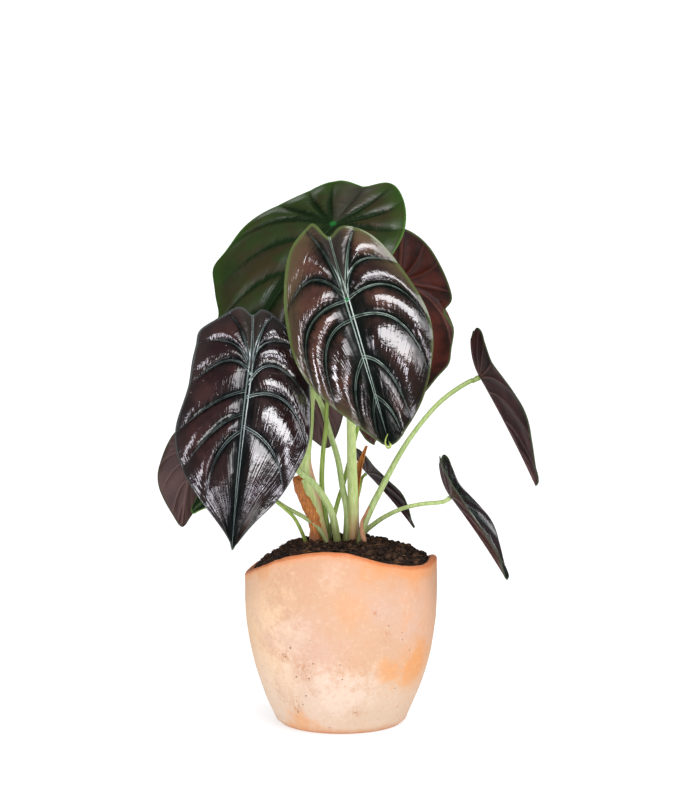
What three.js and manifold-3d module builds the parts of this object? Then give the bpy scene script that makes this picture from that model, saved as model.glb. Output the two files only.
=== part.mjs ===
// A potted alocasia: a clay pot with a wavy rim, its soil and corm, eleven leaves and three dry sheaths.
// Millimetres, +Z up, the front towards -Y. The origin is the centre of the pot's flat underside.
import * as THREE from 'three';
import { mergeVertices } from 'three/addons/utils/BufferGeometryUtils.js';
import Module from 'manifold-3d';

const wasm = await Module();
wasm.setup();

// The pot. Its rim height is given at every 30 degrees, anticlockwise from the left (-X).
const POT_RADIUS = 70;
const FOOT_RADIUS = 44;
const WALL = 6;
const FLOOR = 9;
const RIM_HEIGHTS = [109.5, 118, 130, 133.5, 124, 119.5, 121.5, 115, 117, 121, 119, 113];

// The soil and the buried corm, on whose flat top every stalk stands.
const SOIL_CROWN = 131;
const SOIL_EDGE = 119;
const CORM_TOP = 118;
const CORM_RADIUS = 23;
const CORM_DEPTH = 30;
const CORM_CENTRE = new THREE.Vector2(-6, -1);

const BLADE_THICKNESS = 0.9;
const SHEATH_THICKNESS = 0.9;
const GAP = 0.35; // between neighbouring pieces

// Where the photograph was taken from. It measures 700 x 800 pixels.
const EYE = new THREE.Vector3(6.5, -1400, 344);
const LOOK_DOWN = THREE.MathUtils.degToRad(4.5);
const FOCAL_PIXELS = 1949;
const PHOTO_CENTRE = new THREE.Vector2(350, 400);

// A blade's surface is made of curved rows, from its basal notch (0) to its tip (1). Those before
// HUB_AT fan out from the hub, where the stalk joins the blade, and the others leave the midrib.
// These rows of each half are side veins, where a leaf has no list of its own.
const HUB_AT = 0.45;
const PLAIN_VEINS = [0.12, 0.22, 0.33, 0.5, 0.66, 0.8, 0.9];
const SWELLING_WIDTH = 13; // between two veins, for the full height of the swelling

// hub, tip: photo pixel and depth y. face: the way that the upper side looks. As shares of the length
// from hub to tip, with left and right as the upper side is seen with its tip down: back, how far the
// two basal lobes reach behind the hub, notch and cleft, how deep and how wide the notch between them
// is, sway, how far they swing to the right, and widths. taper: how far each side is drawn in towards
// the tip. bends: where a margin stands out or in, as the share of the way round, the width and the
// share of the blade's own width. bow: height of the lengthwise arch, lift: rise of the basal lobes,
// fold: rise of the two halves in degrees, camber: drop of the margins, wave: height of the margin's
// waves, phase: where they start, quilt: height of the swellings between the veins.
// veins: of each half, the row, the share of the margin where it ends, and the place along and across
// that it bends towards.
// stalk: its foot on the corm, its thickness at foot and top, and the photo points and depths that
// it passes.
const LEAVES = [
  {
    name: 'back_top', colour: 'blade_olive', fine: true,
    hub: [333, 224, 42], tip: [236, 364, -8], face: [-0.3, -0.72, 0.62],
    back: [0.35, 0.5], notch: 0.17, cleft: 0.25, sway: -0.42, widths: [0.5, 0.46], taper: [0.2, 0.47],
    bends: [[[0.59, 0.045, 0.11], [0.74, 0.06, -0.2]], []],
    bow: 7, lift: -4, fold: 0, camber: 5, wave: 1.6, phase: 0.1, quilt: 2.2,
    stalk: {
      foot: [-12.5, 2], thickness: [9, 4.6],
      through: [[317, 513, 4], [306, 472, 7], [309, 428, 14], [312, 387, 19], [322, 300, 31]],
    },
  },
  {
    name: 'front_centre', colour: 'blade_dark', fine: true,
    hub: [347, 300, -60], tip: [390, 446, -92], face: [-0.05, -0.95, 0.3],
    back: [0.63, 0.54], notch: 0.07, cleft: 0.13, sway: 0.03, widths: [0.44, 0.475], taper: [0.65, 0.27],
    bends: [[[0.1, 0.055, -0.1], [0.3, 0.09, -0.05]], [[0.4, 0.12, -0.03], [0.88, 0.09, -0.19]]],
    bow: 5, lift: 0, fold: 0, camber: 7, wave: 1.5, phase: 0.55, quilt: 3.4,
    veins: [
      [
        [0.12, 0.12, -0.42, 0.04], [0.33, 0.42, -0.4, 0.16], [0.49, 0.65, 0, 0.43],
        [0.66, 0.715, 0.15, 0.3], [0.8, 0.825, 0.59, 0.17], [0.9, 0.91, 0.8, 0.07],
      ],
      [
        [0.12, 0.12, -0.4, 0.09], [0.25, 0.33, -0.4, 0.08], [0.47, 0.55, -0.2, 0.385],
        [0.65, 0.67, 0.09, 0.37], [0.8, 0.825, 0.47, 0.17], [0.9, 0.9, 0.78, 0.1],
      ],
    ],
    stalk: {
      foot: [8, 0], thickness: [8.8, 5.6],
      through: [[353, 501, -2], [352, 465, -8], [351, 421, -17], [350, 360, -34]],
    },
  },
  {
    name: 'front_left', colour: 'blade_dark', fine: true,
    hub: [250, 373, -42], tip: [232, 550, -78], face: [-0.1, -0.95, 0.28],
    back: [0.42, 0.415], notch: 0.055, cleft: 0.1, sway: -0.27, widths: [0.42, 0.37], taper: [1, 0.85],
    bends: [[[0.22, 0.05, 0.17], [0.41, 0.1, -0.17]], [[0.16, 0.06, -0.11], [0.72, 0.065, 0.1]]],
    bow: 6, lift: -5, fold: 0, camber: 6, wave: 1.8, phase: 0.3, quilt: 3.2,
    veins: [
      [
        [0.12, 0.12, -0.3, 0.04], [0.24, 0.28, -0.26, 0.06], [0.37, 0.42, -0.18, 0.13],
        [0.63, 0.54, 0.15, 0.19], [0.72, 0.63, 0.29, 0.16], [0.77, 0.74, 0.44, 0.175],
      ],
      [
        [0.12, 0.12, -0.3, 0.03], [0.26, 0.28, -0.3, 0.02], [0.59, 0.43, -0.2, 0.1],
        [0.66, 0.55, 0.03, 0.25], [0.76, 0.68, 0.39, 0.22],
      ],
    ],
    stalk: {
      foot: [-2, -10], thickness: [5.6, 4.2],
      through: [[333, 517, -11], [326, 501, -13], [313, 483, -16], [296, 468, -20], [268, 420, -29]],
    },
  },
  {
    name: 'back_right', colour: 'blade_dark', fine: false,
    hub: [398, 282, 58], tip: [374, 445, 70], face: [0.12, 0.95, 0.25],
    back: [0.315, 0.37], notch: 0.04, sway: 0.15, widths: [0.37, 0.38], taper: [1, 0.5],
    bends: [[[0.4, 0.03, -0.18], [0.55, 0.035, 0.07]], []],
    bow: 8, lift: -7, fold: 0, camber: 5, wave: 2.4, phase: 0.19, quilt: 2.4,
    stalk: {
      foot: [-10, 12], thickness: [3.4, 2.8],
      through: [[338, 501, 14], [342.5, 487, 16], [349, 462, 21], [372, 372, 38]],
    },
  },
  {
    name: 'far_right_upper', colour: 'blade_dark', fine: false,
    hub: [480, 377, 4], tip: [536, 486, -6], face: [0.9, 0.2, 0.4],
    back: [0.41, 0.41], notch: 0.1, widths: [0.31, 0.31], taper: [0.5, 0.5],
    bow: 1, lift: 14, fold: 20, camber: 0, wave: 1, phase: 0.8, quilt: 1.2,
    stalk: {
      foot: [13, -9], thickness: [6, 3.4],
      through: [
        [364, 525, -9], [382, 487, -8], [408, 441, -6], [438, 404, -3], [460, 387, 0], [472, 380.5, 2],
      ],
    },
  },
  {
    name: 'far_right_lower', colour: 'blade_dark', fine: false,
    hub: [451, 497, -18], tip: [507, 580, -30], face: [0.85, -0.18, 0.5],
    back: [0.44, 0.44], notch: 0.1, widths: [0.3, 0.3], taper: [0.5, 0.5],
    bow: 1, lift: 13, fold: 25, camber: 0, wave: 1, phase: 0.4, quilt: 1.2,
    stalk: {
      foot: [13, -1], thickness: [4.2, 3],
      through: [[364, 533, -3], [374, 524, -5], [386, 516, -7], [404, 508, -10], [422, 504, -13]],
    },
  },
  {
    name: 'low_right', colour: 'blade_dark', fine: false,
    hub: [367, 473, 42], tip: [414, 528, 46], face: [0.72, 0.25, 0.62],
    back: [0.42, 0.42], notch: 0.1, widths: [0.33, 0.33], taper: [0.6, 0.6],
    bow: 1, lift: 6, fold: 16, camber: 0, wave: 0.8, phase: 0.65, quilt: 1,
    stalk: { foot: [5, 10], thickness: [3, 2.2], through: [[355, 510, 18], [360, 488, 32]] },
  },
  {
    name: 'middle', colour: 'blade_dark', fine: false,
    hub: [303, 368, 44], tip: [328, 448, 60], face: [0.1, 0.95, 0.3],
    back: [0.4, 0.4], notch: 0.08, widths: [0.38, 0.38], taper: [0.5, 0.5],
    bow: 4, lift: -3, fold: 0, camber: 3, wave: 1, phase: 0, quilt: 1.2,
    stalk: {
      foot: [3, -4], thickness: [5, 4],
      through: [[347, 513, 0], [342.5, 487, 4], [338, 460, 10], [330, 433, 18], [321, 404, 28]],
    },
  },
  {
    name: 'far_left', colour: 'blade_dark', fine: false,
    hub: [195, 450, 22], tip: [182, 527, 26], face: [-0.35, 0.9, 0.15],
    back: [0.4, 0.4], notch: 0.08, widths: [0.36, 0.4], taper: [0.6, 0.6],
    bow: 3, lift: -2, fold: 20, camber: 0, wave: 1, phase: 0.25, quilt: 1.1,
    stalk: {
      foot: [-8, -12], thickness: [3.4, 2.6],
      through: [[319, 529, -10], [307, 519, -8], [284, 506, -4], [262, 490, 2], [228, 466, 12]],
    },
  },
  {
    name: 'low_left', colour: 'blade_olive', fine: false,
    hub: [238, 478, -14], tip: [192, 513, -18], face: [-0.35, -0.6, 0.7],
    back: [0.38, 0.38], notch: 0.08, widths: [0.36, 0.36], taper: [0.6, 0.6],
    bow: 2, lift: -2, fold: 8, camber: 0, wave: 0.8, phase: 0.9, quilt: 1,
    stalk: {
      foot: [-24, -5], thickness: [3, 2.2],
      through: [[295, 519, -8], [284, 508, -10], [262, 492, -13]],
    },
  },
  {
    name: 'inner', colour: 'blade_dark', fine: false,
    hub: [338, 330, 4], tip: [352, 402, -8], face: [0.05, -0.95, 0.25],
    back: [0.4, 0.4], notch: 0.08, widths: [0.36, 0.36], taper: [0.6, 0.6],
    bow: 3, lift: -3, fold: 10, camber: 0, wave: 0.8, phase: 0.5, quilt: 1,
    stalk: {
      foot: [-8, 8], thickness: [4.4, 3],
      through: [[322, 489, 9], [323, 453, 10], [326, 428, 10], [327, 404, 10]],
    },
  },
];

// Dry leaf bases. foot: on the corm. through: photo points and depths up to the tip. widths: at even
// steps from the foot to the tip. opens: the way that the hollow side looks.
const SHEATHS = [
  {
    name: 'sheath_left', foot: [-20, -8], widths: [10, 9.5, 5.5], opens: [0.35, 0.9, 0],
    through: [[314, 528, -10], [311, 515, -11], [304, 501, -12], [298, 489, -12], [296, 481, -11]],
  },
  {
    name: 'sheath_middle', foot: [12, 6], widths: [6.5, 6, 6, 6.2, 1.2], opens: [-0.4, -0.8, 0],
    through: [[356, 510, 6], [356.5, 488, 6], [359.5, 468, 5], [364, 454, 4], [367, 446, 3]],
  },
  {
    name: 'sheath_small', foot: [19, -13], widths: [5, 4, 1.2], opens: [-0.5, 0.6, 0],
    through: [[362, 524, -13], [366, 514, -14], [369, 507, -14]],
  },
];

const MATERIALS = {
  terracotta: new THREE.MeshStandardMaterial({ color: '#eebf9c', roughness: 0.85, metalness: 0 }),
  soil: new THREE.MeshStandardMaterial({ color: '#2d2019', roughness: 1, metalness: 0 }),
  corm: new THREE.MeshStandardMaterial({ color: '#8a6242', roughness: 0.8, metalness: 0 }),
  blade_dark: new THREE.MeshStandardMaterial({ color: '#3c2424', roughness: 0.3, metalness: 0.1 }),
  blade_olive: new THREE.MeshStandardMaterial({ color: '#36421f', roughness: 0.45, metalness: 0 }),
  stalk: new THREE.MeshStandardMaterial({ color: '#a9c47c', roughness: 0.5, metalness: 0 }),
  sheath: new THREE.MeshStandardMaterial({ color: '#a8642f', roughness: 0.8, metalness: 0 }),
};

const part = new THREE.Group();

function addMesh(name, geometry, material) {
  const mesh = new THREE.Mesh(geometry, MATERIALS[material]);
  mesh.name = name;
  part.add(mesh);
}

// The point that the photograph shows at a pixel, on the upright plane at depth y.
function seen([px, py, y]) {
  const right = (px - PHOTO_CENTRE.x) / FOCAL_PIXELS;
  const up = (PHOTO_CENTRE.y - py) / FOCAL_PIXELS;
  const ray = new THREE.Vector3(
    right,
    Math.cos(LOOK_DOWN) + up * Math.sin(LOOK_DOWN),
    up * Math.cos(LOOK_DOWN) - Math.sin(LOOK_DOWN),
  );
  return ray.multiplyScalar((y - EYE.y) / ray.y).add(EYE);
}

// Joins equal vertices and drops the triangles that have no area left.
function weld(geometry) {
  geometry.deleteAttribute('normal');
  geometry.deleteAttribute('uv');
  const merged = mergeVertices(geometry, 1e-4);
  const kept = [];
  for (let i = 0; i < merged.index.count; i += 3) {
    const [a, b, c] = [0, 1, 2].map((k) => merged.index.getX(i + k));
    if (a !== b && b !== c && c !== a) kept.push(a, b, c);
  }
  return merged.setIndex(kept);
}

function surface(points, triangles) {
  const geometry = new THREE.BufferGeometry().setFromPoints(points);
  return geometry.setIndex(triangles.flat());
}

// Two triangles for each cell of a grid of rows.
function gridTriangles(rows, columns) {
  const triangles = [];
  for (let i = 0; i + 1 < rows; i++)
    for (let j = 0; j + 1 < columns; j++) {
      const [a, b] = [i * columns + j, (i + 1) * columns + j];
      triangles.push([a, b, b + 1], [a, b + 1, a + 1]);
    }
  return triangles;
}

// A closed plate round an open surface: both faces have the same triangles, and a wall joins their edges.
function thicken(open, thickness) {
  open.computeVertexNormals();
  const { position, normal } = open.attributes;
  const count = position.count;
  const points = [];
  for (const side of [0.5, -0.5])
    for (let i = 0; i < count; i++) {
      const outwards = new THREE.Vector3().fromBufferAttribute(normal, i);
      points.push(
        new THREE.Vector3().fromBufferAttribute(position, i).addScaledVector(outwards, side * thickness),
      );
    }
  const triangles = [];
  const edges = new Map();
  for (let i = 0; i < open.index.count; i += 3) {
    const corners = [0, 1, 2].map((k) => open.index.getX(i + k));
    triangles.push(corners, corners.map((c) => c + count).reverse());
    corners.forEach((from, k) => edges.set(`${from} ${corners[(k + 1) % 3]}`, [from, corners[(k + 1) % 3]]));
  }
  for (const [from, to] of edges.values())
    if (!edges.has(`${to} ${from}`))
      triangles.push([from, from + count, to + count], [from, to + count, to]);
  return surface(points, triangles);
}

function toSolid(geometry) {
  return new wasm.Manifold(
    new wasm.Mesh({
      numProp: 3,
      vertProperties: new Float32Array(geometry.attributes.position.array),
      triVerts: new Uint32Array(geometry.index.array),
    }),
  );
}

function toGeometry(solid) {
  const { vertProperties, triVerts } = solid.getMesh();
  return new THREE.BufferGeometry()
    .setAttribute('position', new THREE.BufferAttribute(vertProperties, 3))
    .setIndex(new THREE.BufferAttribute(triVerts, 1));
}

// What is left of a solid once its neighbours are cut away: the largest piece.
function cutClear(solid, neighbours) {
  let left = solid;
  for (const neighbour of neighbours) left = left.subtract(neighbour);
  return left.decompose().reduce((a, b) => (a.volume() > b.volume() ? a : b));
}

const between = (low, high, t) => low + (high - low) * t;
const ramp = (from, to, x) => THREE.MathUtils.smoothstep(x, from, to);

// A value at any turn (0 to 1) from values given at equal steps round a circle.
function round(values, turn) {
  const place = THREE.MathUtils.euclideanModulo(turn, 1) * values.length;
  const at = (k) => values[(Math.floor(place) + k + values.length) % values.length];
  const t = place % 1;
  const [a, b, c, d] = [at(-1), at(0), at(1), at(2)];
  return b + 0.5 * t * (c - a + t * (2 * a - 5 * b + 4 * c - d + t * (3 * (b - c) + d - a)));
}

const turnOf = (x, y) => Math.atan2(y, x) / (2 * Math.PI) + 0.5;
const rimHeight = (x, y) => round(RIM_HEIGHTS, turnOf(x, y));

// Outer radius of the pot's wall at a height.
function wallRadius(z) {
  const full = 105; // height above which the wall stands straight
  const t = Math.max(0, 1 - z / full);
  return POT_RADIUS - (POT_RADIUS - FOOT_RADIUS - 2) * Math.pow(t, 2.35);
}

// A body turned round the Z axis, from a profile of [radius, height] that runs up the outside.
function turned(profile, segments) {
  const points = profile.map(([radius, height]) => new THREE.Vector2(radius, height));
  return new THREE.LatheGeometry(points, segments).rotateX(Math.PI / 2);
}

function moveEach(geometry, move) {
  const { position } = geometry.attributes;
  const point = new THREE.Vector3();
  for (let i = 0; i < position.count; i++) {
    move(point.fromBufferAttribute(position, i));
    position.setXYZ(i, point.x, point.y, point.z);
  }
  return geometry;
}

// The wall's straight upper part is stretched or pressed to bring its top to the wavy rim.
function makePot() {
  const level = 120;
  const outside = [4, 11, 21, 34, 50, 68, 88, 108].map((z) => [wallRadius(z), z]);
  const inside = [108, 88, 68, 50, 34, 21].map((z) => [wallRadius(z) - WALL, z]);
  const profile = [
    [0, 0], [FOOT_RADIUS, 0], [FOOT_RADIUS + 1.6, 1], ...outside,
    [POT_RADIUS, level - 2.5], [POT_RADIUS - 1, level - 0.6], [POT_RADIUS - 3, level],
    [POT_RADIUS - WALL + 1, level - 0.6], [POT_RADIUS - WALL, level - 2.5],
    ...inside, [FOOT_RADIUS - 3, FLOOR + 3], [FOOT_RADIUS - 8, FLOOR], [0, FLOOR],
  ];
  const pot = moveEach(turned(profile, 36), (p) => {
    if (Math.hypot(p.x, p.y) > FOOT_RADIUS)
      p.z += (rimHeight(p.x, p.y) - level) * ramp(88, level, p.z);
  });
  return toSolid(weld(pot));
}

// Small lumps in the soil, the same at every run.
const lump = (x, y) =>
  Math.sin(x * 0.31 + 1.7 * Math.sin(y * 0.17)) * Math.cos(y * 0.27 + 1.3 * Math.sin(x * 0.13));

function soilHeight(x, y) {
  const share = Math.min(1, Math.hypot(x, y) / (POT_RADIUS - WALL));
  const edge = Math.min(rimHeight(x, y) - 1, SOIL_EDGE);
  return between(SOIL_CROWN, edge, Math.pow(share, 3.2)) + 1.4 * lump(x, y) * (1 - Math.pow(share, 6));
}

function makeSoil(holes) {
  const inside = [21, 34, 50, 68, 88].map((z) => [wallRadius(z) - WALL - GAP, z]);
  const top = 112;
  const outer = POT_RADIUS - WALL - GAP;
  const rings = [1, 0.95, 0.8, 0.62, 0.44, 0.22].map((share) => [outer * share, top + 1]);
  const bottom = FLOOR + GAP;
  const profile = [
    [0, bottom], [FOOT_RADIUS - 9, bottom], [FOOT_RADIUS - 4, FLOOR + 4],
    ...inside, ...rings, [0, top + 1],
  ];
  const soil = moveEach(turned(profile, 36), (p) => {
    if (p.z > top) p.z = soilHeight(p.x, p.y);
  });
  return cutClear(toSolid(weld(soil)), holes);
}

// The corm tapers downwards and is a little wider than deep.
function makeCorm(grow) {
  const radius = CORM_RADIUS + grow;
  const [top, bottom] = [CORM_TOP - GAP + grow, CORM_TOP - CORM_DEPTH - grow];
  const profile = [
    [0, bottom], [radius * 0.35, bottom + 1], [radius * 0.7, bottom + 8],
    [radius * 0.95, bottom + 18], [radius, top - 5], [radius * 0.97, top], [0, top],
  ];
  const corm = turned(profile, 20).scale(1, 0.75, 1);
  return toSolid(weld(corm.translate(CORM_CENTRE.x, CORM_CENTRE.y, 0)));
}

// A round stalk that changes its thickness along a curve.
function tube(curve, steps, sides, radiusAt) {
  const frames = curve.computeFrenetFrames(steps, false);
  const points = [];
  for (let i = 0; i <= steps; i++)
    for (let k = 0; k < sides; k++) {
      const angle = (2 * Math.PI * k) / sides;
      points.push(
        curve.getPointAt(i / steps)
          .addScaledVector(frames.normals[i], radiusAt(i / steps) * Math.cos(angle))
          .addScaledVector(frames.binormals[i], radiusAt(i / steps) * Math.sin(angle)),
      );
    }
  const triangles = [];
  for (let i = 0; i < steps; i++)
    for (let k = 0; k < sides; k++) {
      const [a, b] = [i * sides + k, i * sides + ((k + 1) % sides)];
      triangles.push([a, b, b + sides], [a, b + sides, a + sides]);
    }
  const last = steps * sides;
  for (let k = 1; k + 1 < sides; k++) triangles.push([0, k + 1, k], [last, last + k, last + k + 1]);
  return surface(points, triangles);
}

// A blade's own directions: along to the tip, across to its right, and up out of its upper side.
function bladeFrame(leaf) {
  const hub = seen(leaf.hub);
  const along = seen(leaf.tip).sub(hub);
  const length = along.length();
  along.normalize();
  const across = new THREE.Vector3(...leaf.face).cross(along).normalize();
  const up = new THREE.Vector3().crossVectors(along, across);
  return { hub, along, across, up, length };
}

// The margin of a blade rises and falls, and swings in and out, in step.
function marginWave(leaf, side, share) {
  const ends = ramp(0, 0.1, share) * ramp(0, 0.1, 1 - share);
  return ends * Math.sin(2 * Math.PI * (2.6 * share + 0.37 * side + leaf.phase));
}

// The blade's margin at a share of the way from the notch to the tip, in lengths from hub to tip.
function margin(leaf, side, share) {
  const angle = Math.PI * (1 - share);
  const back = leaf.back[side];
  const centre = (1 - back) / 2;
  const cleft = leaf.cleft ?? 0.2;
  const notch = (leaf.notch + back - leaf.back[1]) * Math.exp(-((Math.PI * share / cleft) ** 2));
  const drawnIn = 1 - leaf.taper[side] * Math.max(0, Math.cos(angle)) ** 2;
  let swing = 1 + 0.015 * leaf.wave * marginWave(leaf, side, share);
  for (const [at, width, reach] of leaf.bends?.[side] ?? [])
    swing *= 1 + reach * Math.exp(-(((share - at) / width) ** 2));
  return {
    s: centre + (centre + back) * Math.cos(angle) + notch,
    v: leaf.widths[side] * Math.sin(angle) * drawnIn * swing,
  };
}

// How far along the midrib a row leaves it.
const rowStart = (row) => Math.max(0, (row - HUB_AT) / (1 - HUB_AT)) ** 2;

// The veins of one half, with the notch before them and the tip after them.
function halfVeins(leaf, side) {
  const plain = (row) => {
    const end = margin(leaf, side, row);
    const ahead = end.s > rowStart(row) ? 0.08 : 0.45;
    return [row, row, rowStart(row) + ahead * (end.s - rowStart(row)), 0.78 * end.v];
  };
  const veins = leaf.veins?.[side] ?? PLAIN_VEINS.map(plain);
  return [[0, 0, 0.45 * margin(leaf, side, 0).s, 0], ...veins, [1, 1, 1, 0]];
}

// Which two veins a row lies between, and how far it is from the first to the second.
function placeAmong(veins, row) {
  const k = Math.min(veins.length - 2, veins.findLastIndex((vein) => vein[0] <= row));
  return { k, t: (row - veins[k][0]) / (veins[k + 1][0] - veins[k][0]) };
}

// A point of the flat blade on one of its rows, and the share of the margin where the row ends.
function rowPoint(leaf, side, veins, row, out) {
  const { k, t } = placeAmong(veins, row);
  const [share, bendS, bendV] = [1, 2, 3].map((i) => between(veins[k][i], veins[k + 1][i], t));
  const end = margin(leaf, side, share);
  const [a, b, c] = [(1 - out) ** 2, 2 * out * (1 - out), out ** 2];
  return { s: a * rowStart(row) + b * bendS + c * end.s, v: b * bendV + c * end.v, share };
}

// The quilted relief: the blade swells between two veins and sinks along them and the midrib.
function quilting(leaf, side, veins, row, out, length) {
  const { k, t } = placeAmong(veins, row);
  const [low, high] = [veins[k][0], veins[k + 1][0]].map((vein) => rowPoint(leaf, side, veins, vein, out));
  const spacing = Math.hypot(high.s - low.s, high.v - low.v) * length;
  return (
    Math.sin(Math.PI * t) ** 0.8 * ramp(0, 0.3, out) * (1 - 0.75 * ramp(0.7, 1, out)) *
    Math.min(1, spacing / SWELLING_WIDTH)
  );
}

function bladePoint(leaf, frame, side, veins, row, out) {
  const { s, v, share } = rowPoint(leaf, side, veins, row, out);
  const fold = THREE.MathUtils.degToRad(leaf.fold);
  const width = v * frame.length;
  const sway = (leaf.sway ?? 0) * frame.length * Math.min(0, s) ** 2;
  const arch = s > 0 ? 4 * leaf.bow * s * (1 - s) : 4 * leaf.bow * s + leaf.lift * (s / leaf.back[1]) ** 2;
  const droop = leaf.camber * (v / leaf.widths[side]) ** 2;
  const waves = leaf.wave * out ** 3 * marginWave(leaf, side, share);
  const relief = leaf.quilt * quilting(leaf, side, veins, row, out, frame.length);
  return frame.hub.clone()
    .addScaledVector(frame.along, s * frame.length)
    .addScaledVector(frame.across, (side ? 1 : -1) * width * Math.cos(fold) + sway)
    .addScaledVector(frame.up, arch - droop + waves + width * Math.sin(fold) + relief);
}

// Rows follow the veins and the swellings between them. Columns run from left margin to right.
function makeBlade(leaf, thickness) {
  const frame = bladeFrame(leaf);
  const veins = [0, 1].map((side) => halfVeins(leaf, side));
  const marks = [...new Set(veins.flat().map((vein) => vein[0]))].sort((a, b) => a - b);
  const step = leaf.fine ? 0.055 : 0.085;
  const outs = leaf.fine ? [0, 0.12, 0.3, 0.5, 0.7, 0.86, 1] : [0, 0.2, 0.5, 0.78, 1];
  const rows = [0];
  marks.slice(1).forEach((mark, k) => {
    const count = Math.ceil((mark - marks[k]) / step);
    for (let i = 1; i <= count; i++) rows.push(between(marks[k], mark, i / count));
  });
  const columns = [
    ...outs.slice(1).reverse().map((out) => [0, out]),
    ...outs.map((out) => [1, out]),
  ];
  const points = rows.flatMap((row) =>
    columns.map(([side, out]) => bladePoint(leaf, frame, side, veins[side], row, out)),
  );
  return thicken(weld(surface(points, gridTriangles(rows.length, columns.length))), thickness);
}

// A stalk leaves the corm upright and meets the blade's underside at the hub.
function makeStalk(leaf, grow) {
  const { foot, thickness, through } = leaf.stalk;
  const { hub, up, length } = bladeFrame(leaf);
  const curve = new THREE.CatmullRomCurve3(
    [
      new THREE.Vector3(...foot, CORM_TOP - grow),
      new THREE.Vector3(...foot, CORM_TOP + 8),
      ...through.map(seen),
      hub.clone().addScaledVector(up, -0.08 * length),
      hub.clone().addScaledVector(up, 2),
    ],
    false, 'centripetal',
  );
  const radiusAt = (t) => between(thickness[0], thickness[1], Math.min(1, t * 1.6)) / 2 + grow;
  return toSolid(tube(curve, 14, 8, radiusAt));
}

// A dry leaf base: a thin plate, rolled into a channel, that narrows to its tip.
function makeSheath(sheath, thickness) {
  const [rows, columns] = [10, 5];
  const curve = new THREE.CatmullRomCurve3([
    new THREE.Vector3(...sheath.foot, CORM_TOP),
    new THREE.Vector3(...sheath.foot, CORM_TOP + 8),
    ...sheath.through.map(seen),
  ]);
  const widths = new THREE.CatmullRomCurve3(sheath.widths.map((w, i) => new THREE.Vector3(w, i, 0)));
  const opens = new THREE.Vector3(...sheath.opens).normalize();
  const points = [];
  for (let i = 0; i <= rows; i++) {
    const t = i / rows;
    const ahead = curve.getTangentAt(t);
    const sideways = new THREE.Vector3().crossVectors(ahead, opens).normalize();
    const radius = widths.getPoint(t).x / 2;
    for (let j = 0; j <= columns; j++) {
      const angle = between(-1.25, 1.25, j / columns);
      points.push(
        curve.getPointAt(t)
          .addScaledVector(sideways, radius * Math.sin(angle))
          .addScaledVector(opens, radius * (1 - Math.cos(angle))),
      );
    }
  }
  return toSolid(thicken(surface(points, gridTriangles(rows + 1, columns + 1)), thickness));
}

addMesh('pot', toGeometry(makePot()), 'terracotta');
addMesh('corm', toGeometry(makeCorm(0)), 'corm');

const bladeRooms = LEAVES.map((leaf) => toSolid(makeBlade(leaf, BLADE_THICKNESS + 2 * GAP)));
const stalkRooms = LEAVES.map((leaf) => makeStalk(leaf, GAP));
LEAVES.forEach((leaf, i) => {
  addMesh(`blade_${leaf.name}`, makeBlade(leaf, BLADE_THICKNESS), leaf.colour);
  const stalk = cutClear(makeStalk(leaf, 0), [...bladeRooms, ...stalkRooms.slice(0, i)]);
  addMesh(`stalk_${leaf.name}`, toGeometry(stalk), 'stalk');
});

for (const sheath of SHEATHS)
  addMesh(sheath.name, toGeometry(cutClear(makeSheath(sheath, SHEATH_THICKNESS), stalkRooms)), 'sheath');

const sheathRooms = SHEATHS.map((sheath) => makeSheath(sheath, SHEATH_THICKNESS + 2 * GAP));
const soilHoles = [makeCorm(GAP), ...stalkRooms, ...sheathRooms];
addMesh('soil', toGeometry(makeSoil(soilHoles)), 'soil');

export default part;
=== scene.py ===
"""A potted alocasia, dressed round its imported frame.

Lengths are in millimetres until a mesh is made. +Z is up and the front looks towards -Y.
The origin is the centre of the pot's flat underside.
"""
import math
import random

import bpy
import numpy as np
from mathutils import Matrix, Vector, noise


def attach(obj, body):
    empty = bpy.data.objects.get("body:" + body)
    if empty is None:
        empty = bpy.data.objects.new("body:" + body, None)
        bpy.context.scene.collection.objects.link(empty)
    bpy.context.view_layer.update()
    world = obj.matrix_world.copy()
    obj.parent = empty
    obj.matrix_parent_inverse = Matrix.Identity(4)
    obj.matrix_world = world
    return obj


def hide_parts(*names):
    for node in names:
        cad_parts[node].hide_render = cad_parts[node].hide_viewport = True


MM = 0.001

# The pot. Its rim height is given at every 30 degrees, anticlockwise from the left (-X).
POT_RADIUS = 70
FOOT_RADIUS = 44
WALL = 6
FLOOR = 9
RIM_LEVEL = 120  # the even rim of the profile, before it rises and falls
LIP_POINTS = 11
RIM_HEIGHTS = [109.5, 118, 130, 133.5, 124, 119.5, 121.5, 115, 117, 121, 119, 113]

# The soil and the buried corm, on whose flat top every stalk stands.
SOIL_CROWN = 131
SOIL_EDGE = 119
CORM_TOP = 118

BLADE_THICKNESS = 0.8
SHEATH_THICKNESS = 0.7

# Where the photograph was taken from. It measures 700 x 800 pixels.
EYE = np.array((6.5, -1400.0, 344.0))
LOOK_DOWN = math.radians(4.5)
FOCAL_PIXELS = 1949
PHOTO_SIZE = (700, 800)
SENSOR = 36

# A blade's surface is made of curved rows, from its basal notch (0) to its tip (1). Those before
# HUB_AT fan out from the hub, where the stalk joins the blade, and the others leave the midrib.
# These rows of each half are side veins, where a leaf has no list of its own.
HUB_AT = 0.45
PLAIN_VEINS = (0.12, 0.22, 0.33, 0.5, 0.66, 0.8, 0.9)
SWELLING_WIDTH = 13  # between two veins, for the full height of the swelling

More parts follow.
